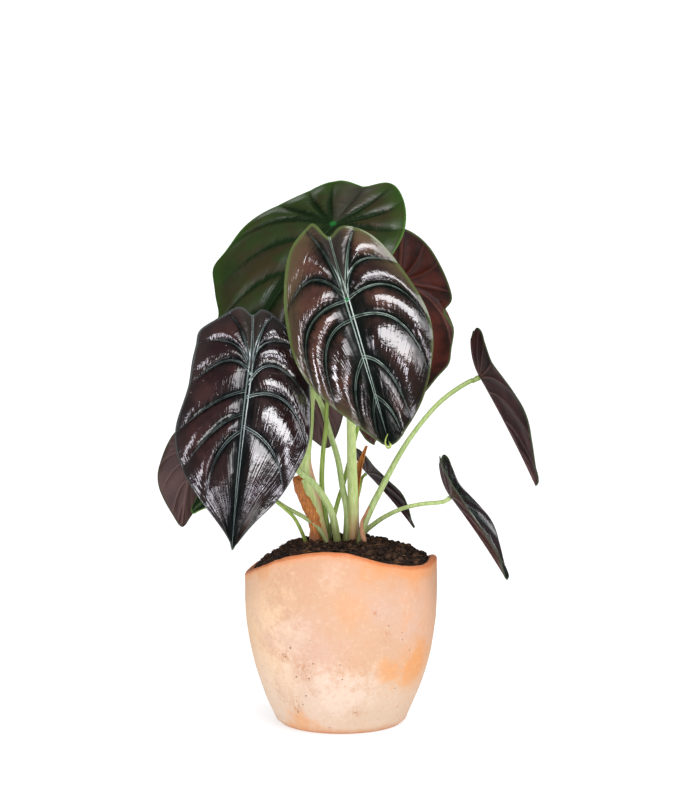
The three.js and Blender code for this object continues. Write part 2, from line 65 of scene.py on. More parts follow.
# hub, tip: photo pixel and depth y. face: the way that the upper side looks. As shares of the
# length from hub to tip, with left and right as the upper side is seen with its tip down: back,
# how far the two basal lobes reach behind the hub, notch and cleft, how deep and how wide the notch
# between them is, sway, how far they swing to the right, and widths. taper: how far each side is
# drawn in towards the tip. bends: where a margin stands out or in, as the share of the way round,
# the width and the share of the blade's own width. bow: height of the lengthwise arch, lift: rise
# of the basal lobes, fold: rise of the two halves in degrees, camber: drop of the margins, wave:
# height of the margin's waves, phase: where they start, quilt: height of the swellings.
# veins: of each half, the row, the share of the margin where it ends, and the place along and
# across that it bends towards.
# stalk: its foot on the corm, its thickness at foot and top, the points that it passes, and the
# heights where its wings begin, are widest and end.
LEAVES = {
    "back_top": dict(
        hub=(333, 224, 42), tip=(236, 364, -8), face=(-0.3, -0.72, 0.62),
        back=(0.35, 0.5), notch=0.17, cleft=0.25, sway=-0.42, widths=(0.5, 0.46), taper=(0.2, 0.47),
        bends=([(0.59, 0.045, 0.11), (0.74, 0.06, -0.2)], []),
        bow=7, lift=-4, fold=0, camber=5, wave=1.6, phase=0.1, quilt=2.2,
        foot=(-12.5, 2), thickness=(9, 4.6), wings=(140, 172, 200),
        through=[(317, 513, 4), (306, 472, 7), (309, 428, 14), (312, 387, 19), (322, 300, 31)],
    ),
    "front_centre": dict(
        hub=(347, 300, -60), tip=(390, 446, -92), face=(-0.05, -0.95, 0.3),
        back=(0.63, 0.54), notch=0.07, cleft=0.13, sway=0.03, widths=(0.44, 0.475), taper=(0.65, 0.27),
        bends=([(0.1, 0.055, -0.1), (0.3, 0.09, -0.05)], [(0.4, 0.12, -0.03), (0.88, 0.09, -0.19)]),
        bow=5, lift=0, fold=0, camber=7, wave=1.5, phase=0.55, quilt=3.4,
        veins=(
            [
                (0.12, 0.12, -0.42, 0.04), (0.33, 0.42, -0.4, 0.16), (0.49, 0.65, 0, 0.43),
                (0.66, 0.715, 0.15, 0.3), (0.8, 0.825, 0.59, 0.17), (0.9, 0.91, 0.8, 0.07),
            ],
            [
                (0.12, 0.12, -0.4, 0.09), (0.25, 0.33, -0.4, 0.08), (0.47, 0.55, -0.2, 0.385),
                (0.65, 0.67, 0.09, 0.37), (0.8, 0.825, 0.47, 0.17), (0.9, 0.9, 0.78, 0.1),
            ],
        ),
        foot=(8, 0), thickness=(8.8, 5.6),
        through=[(353, 501, -2), (352, 465, -8), (351, 421, -17), (350, 360, -34)],
    ),
    "front_left": dict(
        hub=(250, 373, -42), tip=(232, 550, -78), face=(-0.1, -0.95, 0.28),
        back=(0.42, 0.415), notch=0.055, cleft=0.1, sway=-0.27, widths=(0.42, 0.37), taper=(1, 0.85),
        bends=([(0.22, 0.05, 0.17), (0.41, 0.1, -0.17)], [(0.16, 0.06, -0.11), (0.72, 0.065, 0.1)]),
        bow=6, lift=-5, fold=0, camber=6, wave=1.8, phase=0.3, quilt=3.2,
        veins=(
            [
                (0.12, 0.12, -0.3, 0.04), (0.24, 0.28, -0.26, 0.06), (0.37, 0.42, -0.18, 0.13),
                (0.63, 0.54, 0.15, 0.19), (0.72, 0.63, 0.29, 0.16), (0.77, 0.74, 0.44, 0.175),
            ],
            [
                (0.12, 0.12, -0.3, 0.03), (0.26, 0.28, -0.3, 0.02), (0.59, 0.43, -0.2, 0.1),
                (0.66, 0.55, 0.03, 0.25), (0.76, 0.68, 0.39, 0.22),
            ],
        ),
        foot=(-2, -10), thickness=(5.6, 4.2),
        through=[(333, 517, -11), (326, 501, -13), (313, 483, -16), (296, 468, -20), (268, 420, -29)],
    ),
    "back_right": dict(
        hub=(398, 282, 58), tip=(374, 445, 70), face=(0.12, 0.95, 0.25),
        back=(0.315, 0.37), notch=0.04, sway=0.15, widths=(0.37, 0.38), taper=(1, 0.5),
        bends=([(0.4, 0.03, -0.18), (0.55, 0.035, 0.07)], []),
        bow=8, lift=-7, fold=0, camber=5, wave=2.4, phase=0.19, quilt=2.4,
        foot=(-10, 12), thickness=(3.4, 2.8),
        through=[(338, 501, 14), (342.5, 487, 16), (349, 462, 21), (372, 372, 38)],
    ),
    "far_right_upper": dict(
        hub=(480, 377, 4), tip=(536, 486, -6), face=(0.9, 0.2, 0.4),
        back=(0.41, 0.41), notch=0.1, widths=(0.31, 0.31), taper=(0.5, 0.5),
        bow=1, lift=14, fold=20, camber=0, wave=1, phase=0.8, quilt=1.2,
        foot=(13, -9), thickness=(6, 3.4),
        through=[
            (364, 525, -9), (382, 487, -8), (408, 441, -6), (438, 404, -3), (460, 387, 0),
            (472, 380.5, 2),
        ],
    ),
    "far_right_lower": dict(
        hub=(451, 497, -18), tip=(507, 580, -30), face=(0.85, -0.18, 0.5),
        back=(0.44, 0.44), notch=0.1, widths=(0.3, 0.3), taper=(0.5, 0.5),
        bow=1, lift=13, fold=25, camber=0, wave=1, phase=0.4, quilt=1.2,
        foot=(13, -1), thickness=(4.2, 3),
        through=[(364, 533, -3), (374, 524, -5), (386, 516, -7), (404, 508, -10), (422, 504, -13)],
    ),
    "low_right": dict(
        hub=(367, 473, 42), tip=(414, 528, 46), face=(0.72, 0.25, 0.62),
        back=(0.42, 0.42), notch=0.1, widths=(0.33, 0.33), taper=(0.6, 0.6),
        bow=1, lift=6, fold=16, camber=0, wave=0.8, phase=0.65, quilt=1,
        foot=(5, 10), thickness=(3, 2.2), through=[(355, 510, 18), (360, 488, 32)],
    ),
    "middle": dict(
        hub=(303, 368, 44), tip=(328, 448, 60), face=(0.1, 0.95, 0.3),
        back=(0.4, 0.4), notch=0.08, widths=(0.38, 0.38), taper=(0.5, 0.5),
        bow=4, lift=-3, fold=0, camber=3, wave=1, phase=0, quilt=1.2,
        foot=(3, -4), thickness=(5, 4),
        through=[(347, 513, 0), (342.5, 487, 4), (338, 460, 10), (330, 433, 18), (321, 404, 28)],
    ),
    "far_left": dict(
        hub=(195, 450, 22), tip=(182, 527, 26), face=(-0.35, 0.9, 0.15),
        back=(0.4, 0.4), notch=0.08, widths=(0.36, 0.4), taper=(0.6, 0.6),
        bow=3, lift=-2, fold=20, camber=0, wave=1, phase=0.25, quilt=1.1,
        foot=(-8, -12), thickness=(3.4, 2.6),
        through=[(319, 529, -10), (307, 519, -8), (284, 506, -4), (262, 490, 2), (228, 466, 12)],
    ),
    "low_left": dict(
        hub=(238, 478, -14), tip=(192, 513, -18), face=(-0.35, -0.6, 0.7),
        back=(0.38, 0.38), notch=0.08, widths=(0.36, 0.36), taper=(0.6, 0.6),
        bow=2, lift=-2, fold=8, camber=0, wave=0.8, phase=0.9, quilt=1,
        foot=(-24, -5), thickness=(3, 2.2),
        through=[(295, 519, -8), (284, 508, -10), (262, 492, -13)],
    ),
    "inner": dict(
        hub=(338, 330, 4), tip=(352, 402, -8), face=(0.05, -0.95, 0.25),
        back=(0.4, 0.4), notch=0.08, widths=(0.36, 0.36), taper=(0.6, 0.6),
        bow=3, lift=-3, fold=10, camber=0, wave=0.8, phase=0.5, quilt=1,
        foot=(-8, 8), thickness=(4.4, 3),
        through=[(322, 489, 9), (323, 453, 10), (326, 428, 10), (327, 404, 10)],
    ),
}

# How finely a blade is meshed: the step between its rows, and the points of half a row.
PLAIN_MESH = (0.018, 22)
FINE_MESHES = {
    "front_centre": (0.009, 46), "front_left": (0.009, 44), "back_top": (0.012, 34),
    "back_right": (0.012, 34),
}

# The thin tip that curls forwards from the front leaf.
DRIP_TIP = (
    (389, 441, -92), (390.5, 446, -93.5), (388, 448, -96), (385.5, 444, -97.5), (386, 438, -97),
    (388, 434, -96),
)

# Dry leaf bases. foot: on the corm. through: points up to the tip. widths: at even steps from the
# foot to the tip. opens: the way that the hollow side looks. curl: where its tip turns over.
SHEATHS = {
    "sheath_left": dict(
        foot=(-20, -8), widths=(10, 9.5, 5.5), opens=(0.35, 0.9, 0),
        through=[(314, 528, -10), (311, 515, -11), (304, 501, -12), (298, 489, -12), (296, 481, -11)],
        curl=[(297.5, 478, -9), (300.5, 480.5, -7)],
    ),
    "sheath_middle": dict(
        foot=(12, 6), widths=(6.5, 6, 6, 6.2, 1.2), opens=(-0.4, -0.8, 0),
        through=[(356, 510, 6), (356.5, 488, 6), (359.5, 468, 5), (364, 454, 4), (367, 446, 3)],
    ),
    "sheath_small": dict(
        foot=(19, -13), widths=(5, 4, 1.2), opens=(-0.5, 0.6, 0),
        through=[(362, 524, -13), (366, 514, -14), (369, 507, -14)],
    ),
}


def between(low, high, t):
    return low + (high - low) * t


def ramp(low, high, x):
    t = np.clip((x - low) / (high - low), 0, 1)
    return t * t * (3 - 2 * t)


def unit(vector):
    vector = np.asarray(vector, float)
    return vector / np.linalg.norm(vector)


def seen(spot):
    """The point that the photograph shows at a pixel, on the upright plane at depth y."""
    px, py, y = spot
    right = (px - PHOTO_SIZE[0] / 2) / FOCAL_PIXELS
    up = (PHOTO_SIZE[1] / 2 - py) / FOCAL_PIXELS
    ahead = math.cos(LOOK_DOWN) + up * math.sin(LOOK_DOWN)
    ray = np.array((right, ahead, up * math.cos(LOOK_DOWN) - math.sin(LOOK_DOWN)))
    return EYE + ray * (y - EYE[1]) / ray[1]


def smooth_path(points, steps):
    """Points at even steps along the centripetal curve through the given ones."""
    points = [np.asarray(point, float) for point in points]
    padded = [2 * points[0] - points[1], *points, 2 * points[-1] - points[-2]]
    fine = []
    for a, b, c, d in zip(padded, padded[1:], padded[2:], padded[3:]):
        before, own, after = (math.sqrt(np.linalg.norm(q - p)) for p, q in ((a, b), (b, c), (c, d)))
        leaving = ((b - a) / before - (c - a) / (before + own) + (c - b) / own) * own
        arriving = ((c - b) / own - (d - b) / (own + after) + (d - c) / after) * own
        t = np.linspace(0, 1, 30, endpoint=False)[:, None]
        square = 3 * (c - b) - 2 * leaving - arriving
        cube = 2 * (b - c) + leaving + arriving
        fine.extend(b + t * (leaving + t * (square + t * cube)))
    fine = np.array([*fine, points[-1]])
    walked = np.append(0, np.cumsum(np.linalg.norm(np.diff(fine, axis=0), axis=1)))
    places = np.linspace(0, walked[-1], steps + 1)
    return np.stack([np.interp(places, walked, fine[:, k]) for k in range(3)], axis=1)


def round_curve(values, turn):
    """A value at any turn (0 to 1) from values given at equal steps round a circle."""
    values = np.asarray(values, float)
    place = np.mod(turn, 1) * len(values)
    first = np.floor(place).astype(int)
    t = place - first
    a, b, c, d = (values[(first + k) % len(values)] for k in (-1, 0, 1, 2))
    return b + 0.5 * t * (c - a + t * (2 * a - 5 * b + 4 * c - d + t * (3 * (b - c) + d - a)))


def rim_height(x, y):
    return round_curve(RIM_HEIGHTS, np.arctan2(y, x) / (2 * math.pi) + 0.5)


def wall_radius(z):
    """The outside of the pot, which widens in a curve from its foot."""
    full = 105  # height above which the wall stands straight
    t = np.maximum(0, 1 - np.asarray(z, float) / full)
    return POT_RADIUS - (POT_RADIUS - FOOT_RADIUS - 2) * t**2.35


def rough(points, size, seed=0.0, octaves=3):
    """Smooth random heights between about -1 and 1 at points, with lumps of about a size."""
    shift = Vector((seed, 2.7 * seed, 1.3 * seed))
    return np.array([
        noise.fractal(Vector(point) / size + shift, 0.6, 2.1, octaves) for point in points
    ])


# Meshes


def new_object(name, data):
    made = bpy.data.objects.new(name, data)
    bpy.context.scene.collection.objects.link(made)
    return made


def weld(points, faces):
    """Joins equal points. Gives the kept points' places and the faces with no side lost."""
    _, first, number = np.unique(np.round(points, 4), axis=0, return_index=True, return_inverse=True)
    number = number.ravel()
    kept = []
    for face in faces:
        corners = list(dict.fromkeys(int(number[i]) for i in face))
        if len(corners) > 2:
            kept.append(corners)
    return first, kept


def make_piece(name, points, faces, materials, values):
    """A smooth mesh object, from points in millimetres, with its named values at each point."""
    first, faces = weld(points, faces)
    mesh = bpy.data.meshes.new(name)
    mesh.from_pydata((np.asarray(points)[first] * MM).tolist(), [], faces)
    for key, numbers in values.items():
        numbers = np.asarray(numbers, np.float32)[first]
        kind, field = ("FLOAT", "value") if numbers.ndim == 1 else ("FLOAT_VECTOR", "vector")
        mesh.attributes.new(key, kind, "POINT").data.foreach_set(field, numbers.ravel())
    for material in materials:
        mesh.materials.append(material)
    mesh.shade_smooth()
    return new_object(name, mesh)


def thicken(piece, thickness, under=0):
    """Turns an open sheet into a plate. Its underside and rim take the material with number under."""
    plate = piece.modifiers.new("plate", "SOLIDIFY")
    plate.thickness = thickness * MM
    plate.offset = 0
    plate.material_offset = under
    plate.material_offset_rim = under
    sheet = piece.data
    thick = piece.evaluated_get(bpy.context.evaluated_depsgraph_get())
    piece.data = bpy.data.meshes.new_from_object(thick)
    piece.modifiers.clear()
    bpy.data.meshes.remove(sheet)
    piece.data.name = piece.name


def grid_faces(rows, columns, closed=False):
    """Quads between the rows of a grid of points. A closed one joins its last column to its first."""
    faces = []
    for near in range(0, (rows - 1) * columns, columns):
        far = near + columns
        for j in range(columns if closed else columns - 1):
            k = (j + 1) % columns
            faces.append((near + j, far + j, far + k, near + k))
    return faces


def body_faces(rings, sides):
    """Quads between the rings of a closed body, and a flat face at either end."""
    last = (rings - 1) * sides
    ends = [tuple(range(sides - 1, -1, -1)), tuple(range(last, last + sides))]
    return grid_faces(rings, sides, closed=True) + ends


def around(sides):
    """Angles at even steps once round."""
    return np.arange(sides) * 2 * math.pi / sides


def settle(piece, *nodes, slot):
    """Puts a piece on the frame in place of nodes. The slot is not used."""
    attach(piece, "root")
    if nodes:
        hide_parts(*nodes)


# Blades


def blade_frame(leaf):
    """A blade's own directions: along to the tip, across to its right, and up out of its upper side."""
    hub = seen(leaf["hub"])
    along = seen(leaf["tip"]) - hub
    length = np.linalg.norm(along)
    along = along / length
    across = unit(np.cross(leaf["face"], along))
    return hub, along, across, np.cross(along, across), length


def margin_wave(leaf, side, share):
    """Between 2 and 3 waves along the margin of a half, with none at its ends."""
    ends = ramp(0, 0.1, share) * ramp(0, 0.1, 1 - share)
    return ends * np.sin(2 * math.pi * (2.6 * share + 0.37 * side + leaf["phase"]))


def margin(leaf, side, share):
    """The margin's place along and across, at a share of the way from the notch to the tip."""
    angle = math.pi * (1 - share)
    back = leaf["back"][side]
    centre = (1 - back) / 2
    depth = leaf["notch"] + back - leaf["back"][1]
    notch = depth * np.exp(-((math.pi * share / leaf.get("cleft", 0.2)) ** 2))
    drawn_in = 1 - leaf["taper"][side] * np.maximum(0, np.cos(angle)) ** 2
    swing = 1 + 0.015 * leaf["wave"] * margin_wave(leaf, side, share)
    for at, width, reach in leaf.get("bends", ([], []))[side]:
        swing = swing * (1 + reach * np.exp(-(((share - at) / width) ** 2)))
    s = centre + (centre + back) * np.cos(angle) + notch
    return s, leaf["widths"][side] * np.sin(angle) * drawn_in * swing


def row_start(row):
    """How far along the midrib a row of the blade leaves it."""
    return np.maximum(0, (row - HUB_AT) / (1 - HUB_AT)) ** 2


def half_veins(leaf, side):
    """The veins of one half, with the notch before them and the tip after them."""
    if "veins" in leaf:
        veins = np.array(leaf["veins"][side], float)
    else:
        rows = np.array(PLAIN_VEINS)
        start = row_start(rows)
        end_s, end_v = margin(leaf, side, rows)
        ahead = np.where(end_s > start, 0.08, 0.45)  # veins to the lobes bend back sooner
        veins = np.stack([rows, rows, start + ahead * (end_s - start), 0.78 * end_v], axis=1)
    back_s, _ = margin(leaf, side, 0.0)
    return np.vstack([(0, 0, 0.45 * float(back_s), 0), veins, (1, 1, 1, 0)])


def row_places(leaf, side, veins, row, out):
    """Places along and across on the curved rows of one half."""
    share, bend_s, bend_v = (np.interp(row, veins[:, 0], veins[:, k]) for k in (1, 2, 3))
    end_s, end_v = margin(leaf, side, share)
    a, b, c = (1 - out) ** 2, 2 * out * (1 - out), out**2
    return a * row_start(row) + b * bend_s + c * end_s, b * bend_v + c * end_v


def distance_to_line(places, line):
    """The shortest way from each place of the flat blade to a drawn line."""
    nearest = np.full(len(places), np.inf)
    for a, b in zip(line, line[1:]):
        step = b - a
        size = max(float(step @ step), 1e-12)
        t = np.clip((places - a) @ step / size, 0, 1)
        gap = places - a - t[:, None] * step
        nearest = np.minimum(nearest, (gap**2).sum(axis=1))
    return np.sqrt(nearest)


def swelling(leaf, side, veins, row, out, length):
    """The quilted relief: the blade swells between two veins and sinks along them and the midrib."""
    k = np.clip(np.searchsorted(veins[:, 0], row, side="right") - 1, 0, len(veins) - 2)
    t = (row - veins[k, 0]) / (veins[k + 1, 0] - veins[k, 0])
    low = np.stack(row_places(leaf, side, veins, veins[k, 0], out))
    high = np.stack(row_places(leaf, side, veins, veins[k + 1, 0], out))
    spacing = np.linalg.norm(high - low, axis=0) * length
    crest = np.sin(math.pi * np.clip(t, 0, 1)) ** 0.8
    sides = ramp(0, 0.3, out) * (1 - 0.75 * ramp(0.7, 1, out))
    return crest * sides * np.minimum(1, spacing / SWELLING_WIDTH)


def blade_rows(veins_of_both, step):
    """Rows at every vein of both halves, and enough between them."""
    marks = np.unique(np.concatenate([veins[:, 0] for veins in veins_of_both]))
    rows = [0.0]
    for low, high in zip(marks, marks[1:]):
        count = max(2, math.ceil((high - low) / step))
        rows.extend(low + (high - low) * np.arange(1, count + 1) / count)
    return np.array(rows)


def blade_half(leaf, side, veins, rows, outs):
    """Points of one half, row by row, and the values that its material reads, in millimetres."""
    hub, along, across, up, length = blade_frame(leaf)
    row, out = np.meshgrid(rows, outs, indexing="ij")
    s, v = row_places(leaf, side, veins, row, out)
    width = v * length
    share = np.interp(row, veins[:, 0], veins[:, 1])
    pillow = swelling(leaf, side, veins, row, out, length)
    fold = math.radians(leaf["fold"])
    behind = 4 * leaf["bow"] * s + leaf["lift"] * (s / leaf["back"][1]) ** 2
    arch = np.where(s > 0, 4 * leaf["bow"] * s * (1 - s), behind)
    droop = leaf["camber"] * (v / leaf["widths"][side]) ** 2
    waves = leaf["wave"] * out**3 * margin_wave(leaf, side, share)
    height = arch - droop + waves + width * math.sin(fold) + leaf["quilt"] * pillow
    sway = leaf.get("sway", 0) * length * np.minimum(0, s) ** 2
    sideways = (1 if side else -1) * width * math.cos(fold) + sway
    own = np.stack([s * length, sideways, height], axis=-1)
    points = hub + own @ np.stack([along, across, up])

    flat = np.stack([s.ravel(), v.ravel()], axis=1) * length
    from_hub = np.hypot(width, s * length)
    vein, vein_twin = vein_distances(leaf, side, veins, flat, out.ravel(), length)
    half = np.full(row.shape, float(side))
    half_apart = 300  # so that the two halves wrinkle differently
    values = dict(
        vein=vein.reshape(row.shape), vein_twin=vein_twin.reshape(row.shape),
        rib=width, rib_twin=width / np.interp(s, (-0.35, 0, 1), (0.6, 1.35, 0.3)),
        pillow=pillow, out=out, down=s, row=row, from_hub=from_hub, half=half,
        edge=distance_to_line(flat, margin_line(leaf, side) * length).reshape(row.shape),
        place=np.stack([out * 0.6 * length, row * length, half_apart * half], axis=-1),
    )
    return points, values


def vein_distances(leaf, side, veins, flat, out, length):
    """The way to the nearest side vein in millimetres, and as a share of its own half width."""
    drawn = np.linspace(0, 1, 25)
    distance, share = [], []
    for k, at in enumerate(veins[1:-1, 0]):
        line = np.stack(row_places(leaf, side, veins, at + 0 * drawn, drawn), axis=1) * length
        own = distance_to_line(flat, line)
        thickest = 1.15 if k == 0 else 0.85  # the basal vein is the strongest
        distance.append(own)
        share.append(own / (thickest * (1 - 0.75 * out)))
    return np.min(distance, axis=0), np.min(share, axis=0)


def margin_line(leaf, side):
    return np.stack(margin(leaf, side, np.linspace(0, 1, 120)), axis=1)


def make_blade(name, leaf, step, columns, materials):
    """A blade of two halves that share their midrib, with its upper side and its underside."""
    veins_of_both = [half_veins(leaf, side) for side in (0, 1)]
    rows = blade_rows(veins_of_both, step)
    even = np.linspace(0, 1, columns)
    outs = between(even, np.sin(even * math.pi / 2), 0.35)  # closer together near the margin
    (left, left_values), (right, right_values) = (
        blade_half(leaf, side, veins, rows, outs) for side, veins in enumerate(veins_of_both)
    )

    def joined(one, other):
        both = np.concatenate([one[:, :0:-1], other], axis=1)
        return both.reshape(-1, *both.shape[2:])

    values = {key: joined(left_values[key], right_values[key]) for key in left_values}
    faces = grid_faces(len(rows), 2 * columns - 1)
    blade = make_piece(f"{name}_leaf", joined(left, right), faces, materials, values)
    thicken(blade, BLADE_THICKNESS, under=1)
    return blade


# Stalks and sheaths


def tube(path, radii, sides):
    """Rings of points round a path. A ring has one radius, or one for each side."""
    ahead = np.gradient(path, axis=0)
    ahead /= np.linalg.norm(ahead, axis=1)[:, None]
    side = unit(np.cross(ahead[0], (0, 1, 0)))
    angles = around(sides)
    points = []
    for centre, forward, radius in zip(path, ahead, radii):
        side = unit(side - forward * (side @ forward))
        other = np.cross(forward, side)
        ring = np.cos(angles)[:, None] * side + np.sin(angles)[:, None] * other
        points.append(centre + np.reshape(radius, (-1, 1)) * ring)
    return np.array(points)


def from_corm(foot, above, steps):
    """A path that leaves the corm upright and goes on through the points above."""
    return smooth_path([(*foot, CORM_TOP), (*foot, CORM_TOP + 8), *above], steps)


def stalk_path(leaf, steps):
    """It meets its blade from below, a little inside the midrib."""
    hub, _, _, up, length = blade_frame(leaf)
    joint = [hub - 0.08 * length * up, hub - 0.75 * up]
    return from_corm(leaf["foot"], [*map(seen, leaf["through"]), *joint], steps)


def make_stalk(name, leaf, material):
    """A tapered stalk that flares at its blade. The tall one has two thin wings low down."""
    steps, sides = 90, 24
    path = stalk_path(leaf, steps)
    t = np.linspace(0, 1, steps + 1)
    foot, top = leaf["thickness"]
    tapered, flare = np.minimum(1, 1.6 * t), 1 + 0.2 * ramp(0.965, 1, t)
    radii = between(foot, top, tapered) / 2 * flare
    wing = sum(np.maximum(np.cos(around(sides) - turn), 0) ** 14 for turn in (0, 2.6))
    begin, widest, end = leaf.get("wings", (0, 1, 2))
    wings = (ramp(begin, widest, path[:, 2]) * ramp(end, widest, path[:, 2]))[:, None] * wing
    rings = tube(path, radii[:, None] * (1 + 0.9 * wings), sides)
    points = np.concatenate([rings.reshape(-1, 3), [path[0], path[-1]]])
    faces = grid_faces(steps + 1, sides, closed=True)
    low, high = len(points) - 2, len(points) - 1
    last = steps * sides
    for k in range(sides):
        faces.append((low, k, (k + 1) % sides))
        faces.append((high, last + (k + 1) % sides, last + k))
    height = path[:, 2] - SOIL_CROWN
    values = dict(
        height=np.concatenate([np.repeat(height, sides), [height[0], height[-1]]]),
        wing=np.concatenate([wings.ravel(), [0, 0]]),
    )
    return make_piece(f"{name}_stalk", points, faces, [material], values)


def make_sheath(name, sheath, material):
    """A dry leaf base: a thin crumpled plate, rolled into a channel, with ragged sides."""
    rows, columns = 44, 14
    half_roll = 1.25  # how far either side of the channel turns, in radians
    path = from_corm(sheath["foot"], map(seen, sheath["through"] + sheath.get("curl", [])), rows)
    opens = unit(sheath["opens"])
    sideways = np.array([unit(np.cross(ahead, opens)) for ahead in np.gradient(path, axis=0)])
    up, across = np.meshgrid(np.linspace(0, 1, rows + 1), np.linspace(-1, 1, columns + 1), indexing="ij")
    rng = random.Random(name)
    ragged = np.reshape([rng.random() for _ in range(up.size)], up.shape) * (up > 0.3)
    angle = half_roll * across * (1 - 0.12 * abs(across) ** 6 * ragged)
    half_width = np.interp(up, np.linspace(0, 1, len(sheath["widths"])), sheath["widths"]) / 2
    ripple = 0.22 * np.sin(9 * across + 3 * up) * up
    depth = half_width * (1 - np.cos(angle)) + ripple
    points = path[:, None] + (half_width * np.sin(angle))[..., None] * sideways[:, None]
    points = (points + depth[..., None] * opens).reshape(-1, 3)
    crumpled = ramp(0.1, 0.5, up.ravel()) * rough(points, 5, seed=sheath["foot"][0], octaves=3)
    points = points + crumpled[:, None] * (0.7 * opens + (0.5, 0, 0))
    piece = make_piece(
        f"{name}_dry", points, grid_faces(rows + 1, columns + 1), [material],
        dict(up_stalk=up.ravel(), across=across.ravel()),
    )
    thicken(piece, SHEATH_THICKNESS)
    return piece


def make_drip_tip(material):
    """The front leaf ends in a short thin tip that curls forwards."""
    steps, sides = 26, 8
    path = smooth_path(map(seen, DRIP_TIP), steps)
    points = tube(path, np.linspace(1.0, 0.25, steps + 1), sides).reshape(-1, 3)
    above_foot = 60.0  # its height, clear of the colour of a stalk's foot
    values = dict(height=np.full(len(points), above_foot), wing=np.zeros(len(points)))
    return make_piece("drip_tip", points, body_faces(steps + 1, sides), [material], values)


# The pot and its soil


def pot_profile():
    """The pot's outline as (radius, height): up the outside to the lip's end, and down the inside."""
    foot = [(0, 0), (20, 0), (38, 0)]
    foot += [(FOOT_RADIUS + out, z) for out, z in ((-1.5, 0), (0.4, 0.5), (1.5, 1.6))]
    wall = [(float(wall_radius(z)), z) for z in np.linspace(3, 110, 46)]
    wall += [(POT_RADIUS, z) for z in (112, 114, 116)]
    middle, rounding = POT_RADIUS - WALL / 2, 2.6
    lip = [
        (middle + WALL / 2 * math.cos(a), RIM_LEVEL - rounding + rounding * math.sin(a))
        for a in np.linspace(0, math.pi, LIP_POINTS)
    ]
    inside = [(float(wall_radius(z)) - WALL, z) for z in (114, 108, 98, 88, 68, 50, 34, 21)]
    floor = [(FOOT_RADIUS - 3, FLOOR + 3), (FOOT_RADIUS - 8, FLOOR), (0, FLOOR)]
    return foot + wall + lip, inside + floor


def make_pot(material):
    """Hand-built: the wall is a little uneven and the rim rises and falls."""
    outside, inside = pot_profile()
    profile = np.array(outside + inside, float)
    radius, z = profile[:, :1], profile[:, 1:]
    segments = 200
    angles = around(segments)
    x, y = radius * np.cos(angles), radius * np.sin(angles)
    rim = rim_height(x, y)
    follows_rim = ramp(88, RIM_LEVEL, z)  # only the upper wall does
    z = z + np.where(radius > FOOT_RADIUS, (rim - RIM_LEVEL) * follows_rim, 0)
    flat = np.stack([x.ravel(), y.ravel(), z.ravel()], axis=1)
    uneven = 0.35 * rough(flat, 34, seed=3.1, octaves=2) + 0.12 * rough(flat, 7, seed=8.4, octaves=2)
    number = np.arange(len(profile))[:, None]
    hold = ramp(1, 8, z) * (number < len(outside))
    grow = 1 + (uneven.reshape(z.shape) - 0.35) * hold / np.maximum(radius, 1)
    dips = 0.35 * rough(flat, 9, seed=5.2, octaves=2).reshape(z.shape) - 0.15
    points = np.stack([x * grow, y * grow, z + dips * ramp(105, 118, z)], axis=-1)
    within = np.broadcast_to(number >= len(outside) - LIP_POINTS // 2, z.shape)
    return make_piece(
        "clay_pot", points.reshape(-1, 3), grid_faces(len(profile), segments, closed=True),
        [material], dict(below_rim=(rim - z).ravel(), inside=within.ravel()),
    )


def lump(x, y):
    """Low swells of the soil, between -1 and 1."""
    return np.sin(x * 0.31 + 1.7 * np.sin(y * 0.17)) * np.cos(y * 0.27 + 1.3 * np.sin(x * 0.13))


def soil_height(x, y):
    """The mounded top of the soil, whose edge keeps below the rim."""
    share = np.minimum(1, np.hypot(x, y) / (POT_RADIUS - WALL))
    edge = np.minimum(rim_height(x, y) - 1, SOIL_EDGE)
    return between(SOIL_CROWN, edge, share**3.2) + 1.4 * lump(x, y) * (1 - share**6)


def crumb(rng, centre, size):
    """One lump of peat: an uneven body of four five-sided rings."""
    turn = rng.random() * math.pi
    points, sides = [], 5
    rings = ((-0.8, 0.45), (-0.2, 1.0), (0.45, 0.8), (0.9, 0.3))
    for level, spread in rings:
        for k in range(sides):
            angle = turn + 2 * math.pi * k / sides + 0.3 * rng.random()
            reach = size * spread * (0.65 + 0.6 * rng.random())
            x, y = reach * math.cos(angle), reach * math.sin(angle)
            points.append(centre + np.array((x, y, 0.75 * size * level)))
    return points, body_faces(len(rings), sides)


def fibre(rng, centre, length):
    """A thin bent root fibre that lies on the soil."""
    turn = rng.random() * 2 * math.pi
    rise = 0.25 * rng.random()
    bend = rng.uniform(-0.9, 0.9)
    thick = rng.uniform(0.14, 0.3)
    thins_out, sides = (1, 1, 0.9, 0.7, 0.3), 3
    t = np.linspace(0, 1, len(thins_out))
    angle = turn + bend * t
    path = centre + length * np.stack([t * np.cos(angle), t * np.sin(angle), t * rise], axis=1)
    rings = tube(path, thick * np.array(thins_out), sides)
    return list(rings.reshape(-1, 3)), body_faces(len(path), sides)


def soil_surface():
    """The body of the soil: a crumbled top on a plain filling."""
    gap = 0.2
    segments = 260
    outer = POT_RADIUS - WALL - gap
    filling = [(0, FLOOR + gap), (FOOT_RADIUS - 10, FLOOR + gap)]
    filling += [(float(wall_radius(z)) - WALL - gap, z) for z in (21, 34, 50, 68, 88)]
    angles = around(segments)
    x, y = np.cos(angles), np.sin(angles)
    rings = [np.stack([r * x, r * y, z + 0 * x], axis=1) for r, z in filling]
    for r in outer * np.linspace(1, 0, 62):
        rings.append(np.stack([r * x, r * y, soil_height(r * x, r * y)], axis=1))
    points = np.concatenate(rings)
    above_filling = points[:, 2] > 95
    points[:, 2] += 1.9 * rough(points, 5, seed=1.7, octaves=4) * above_filling
    return points, grid_faces(len(rings), segments, closed=True)


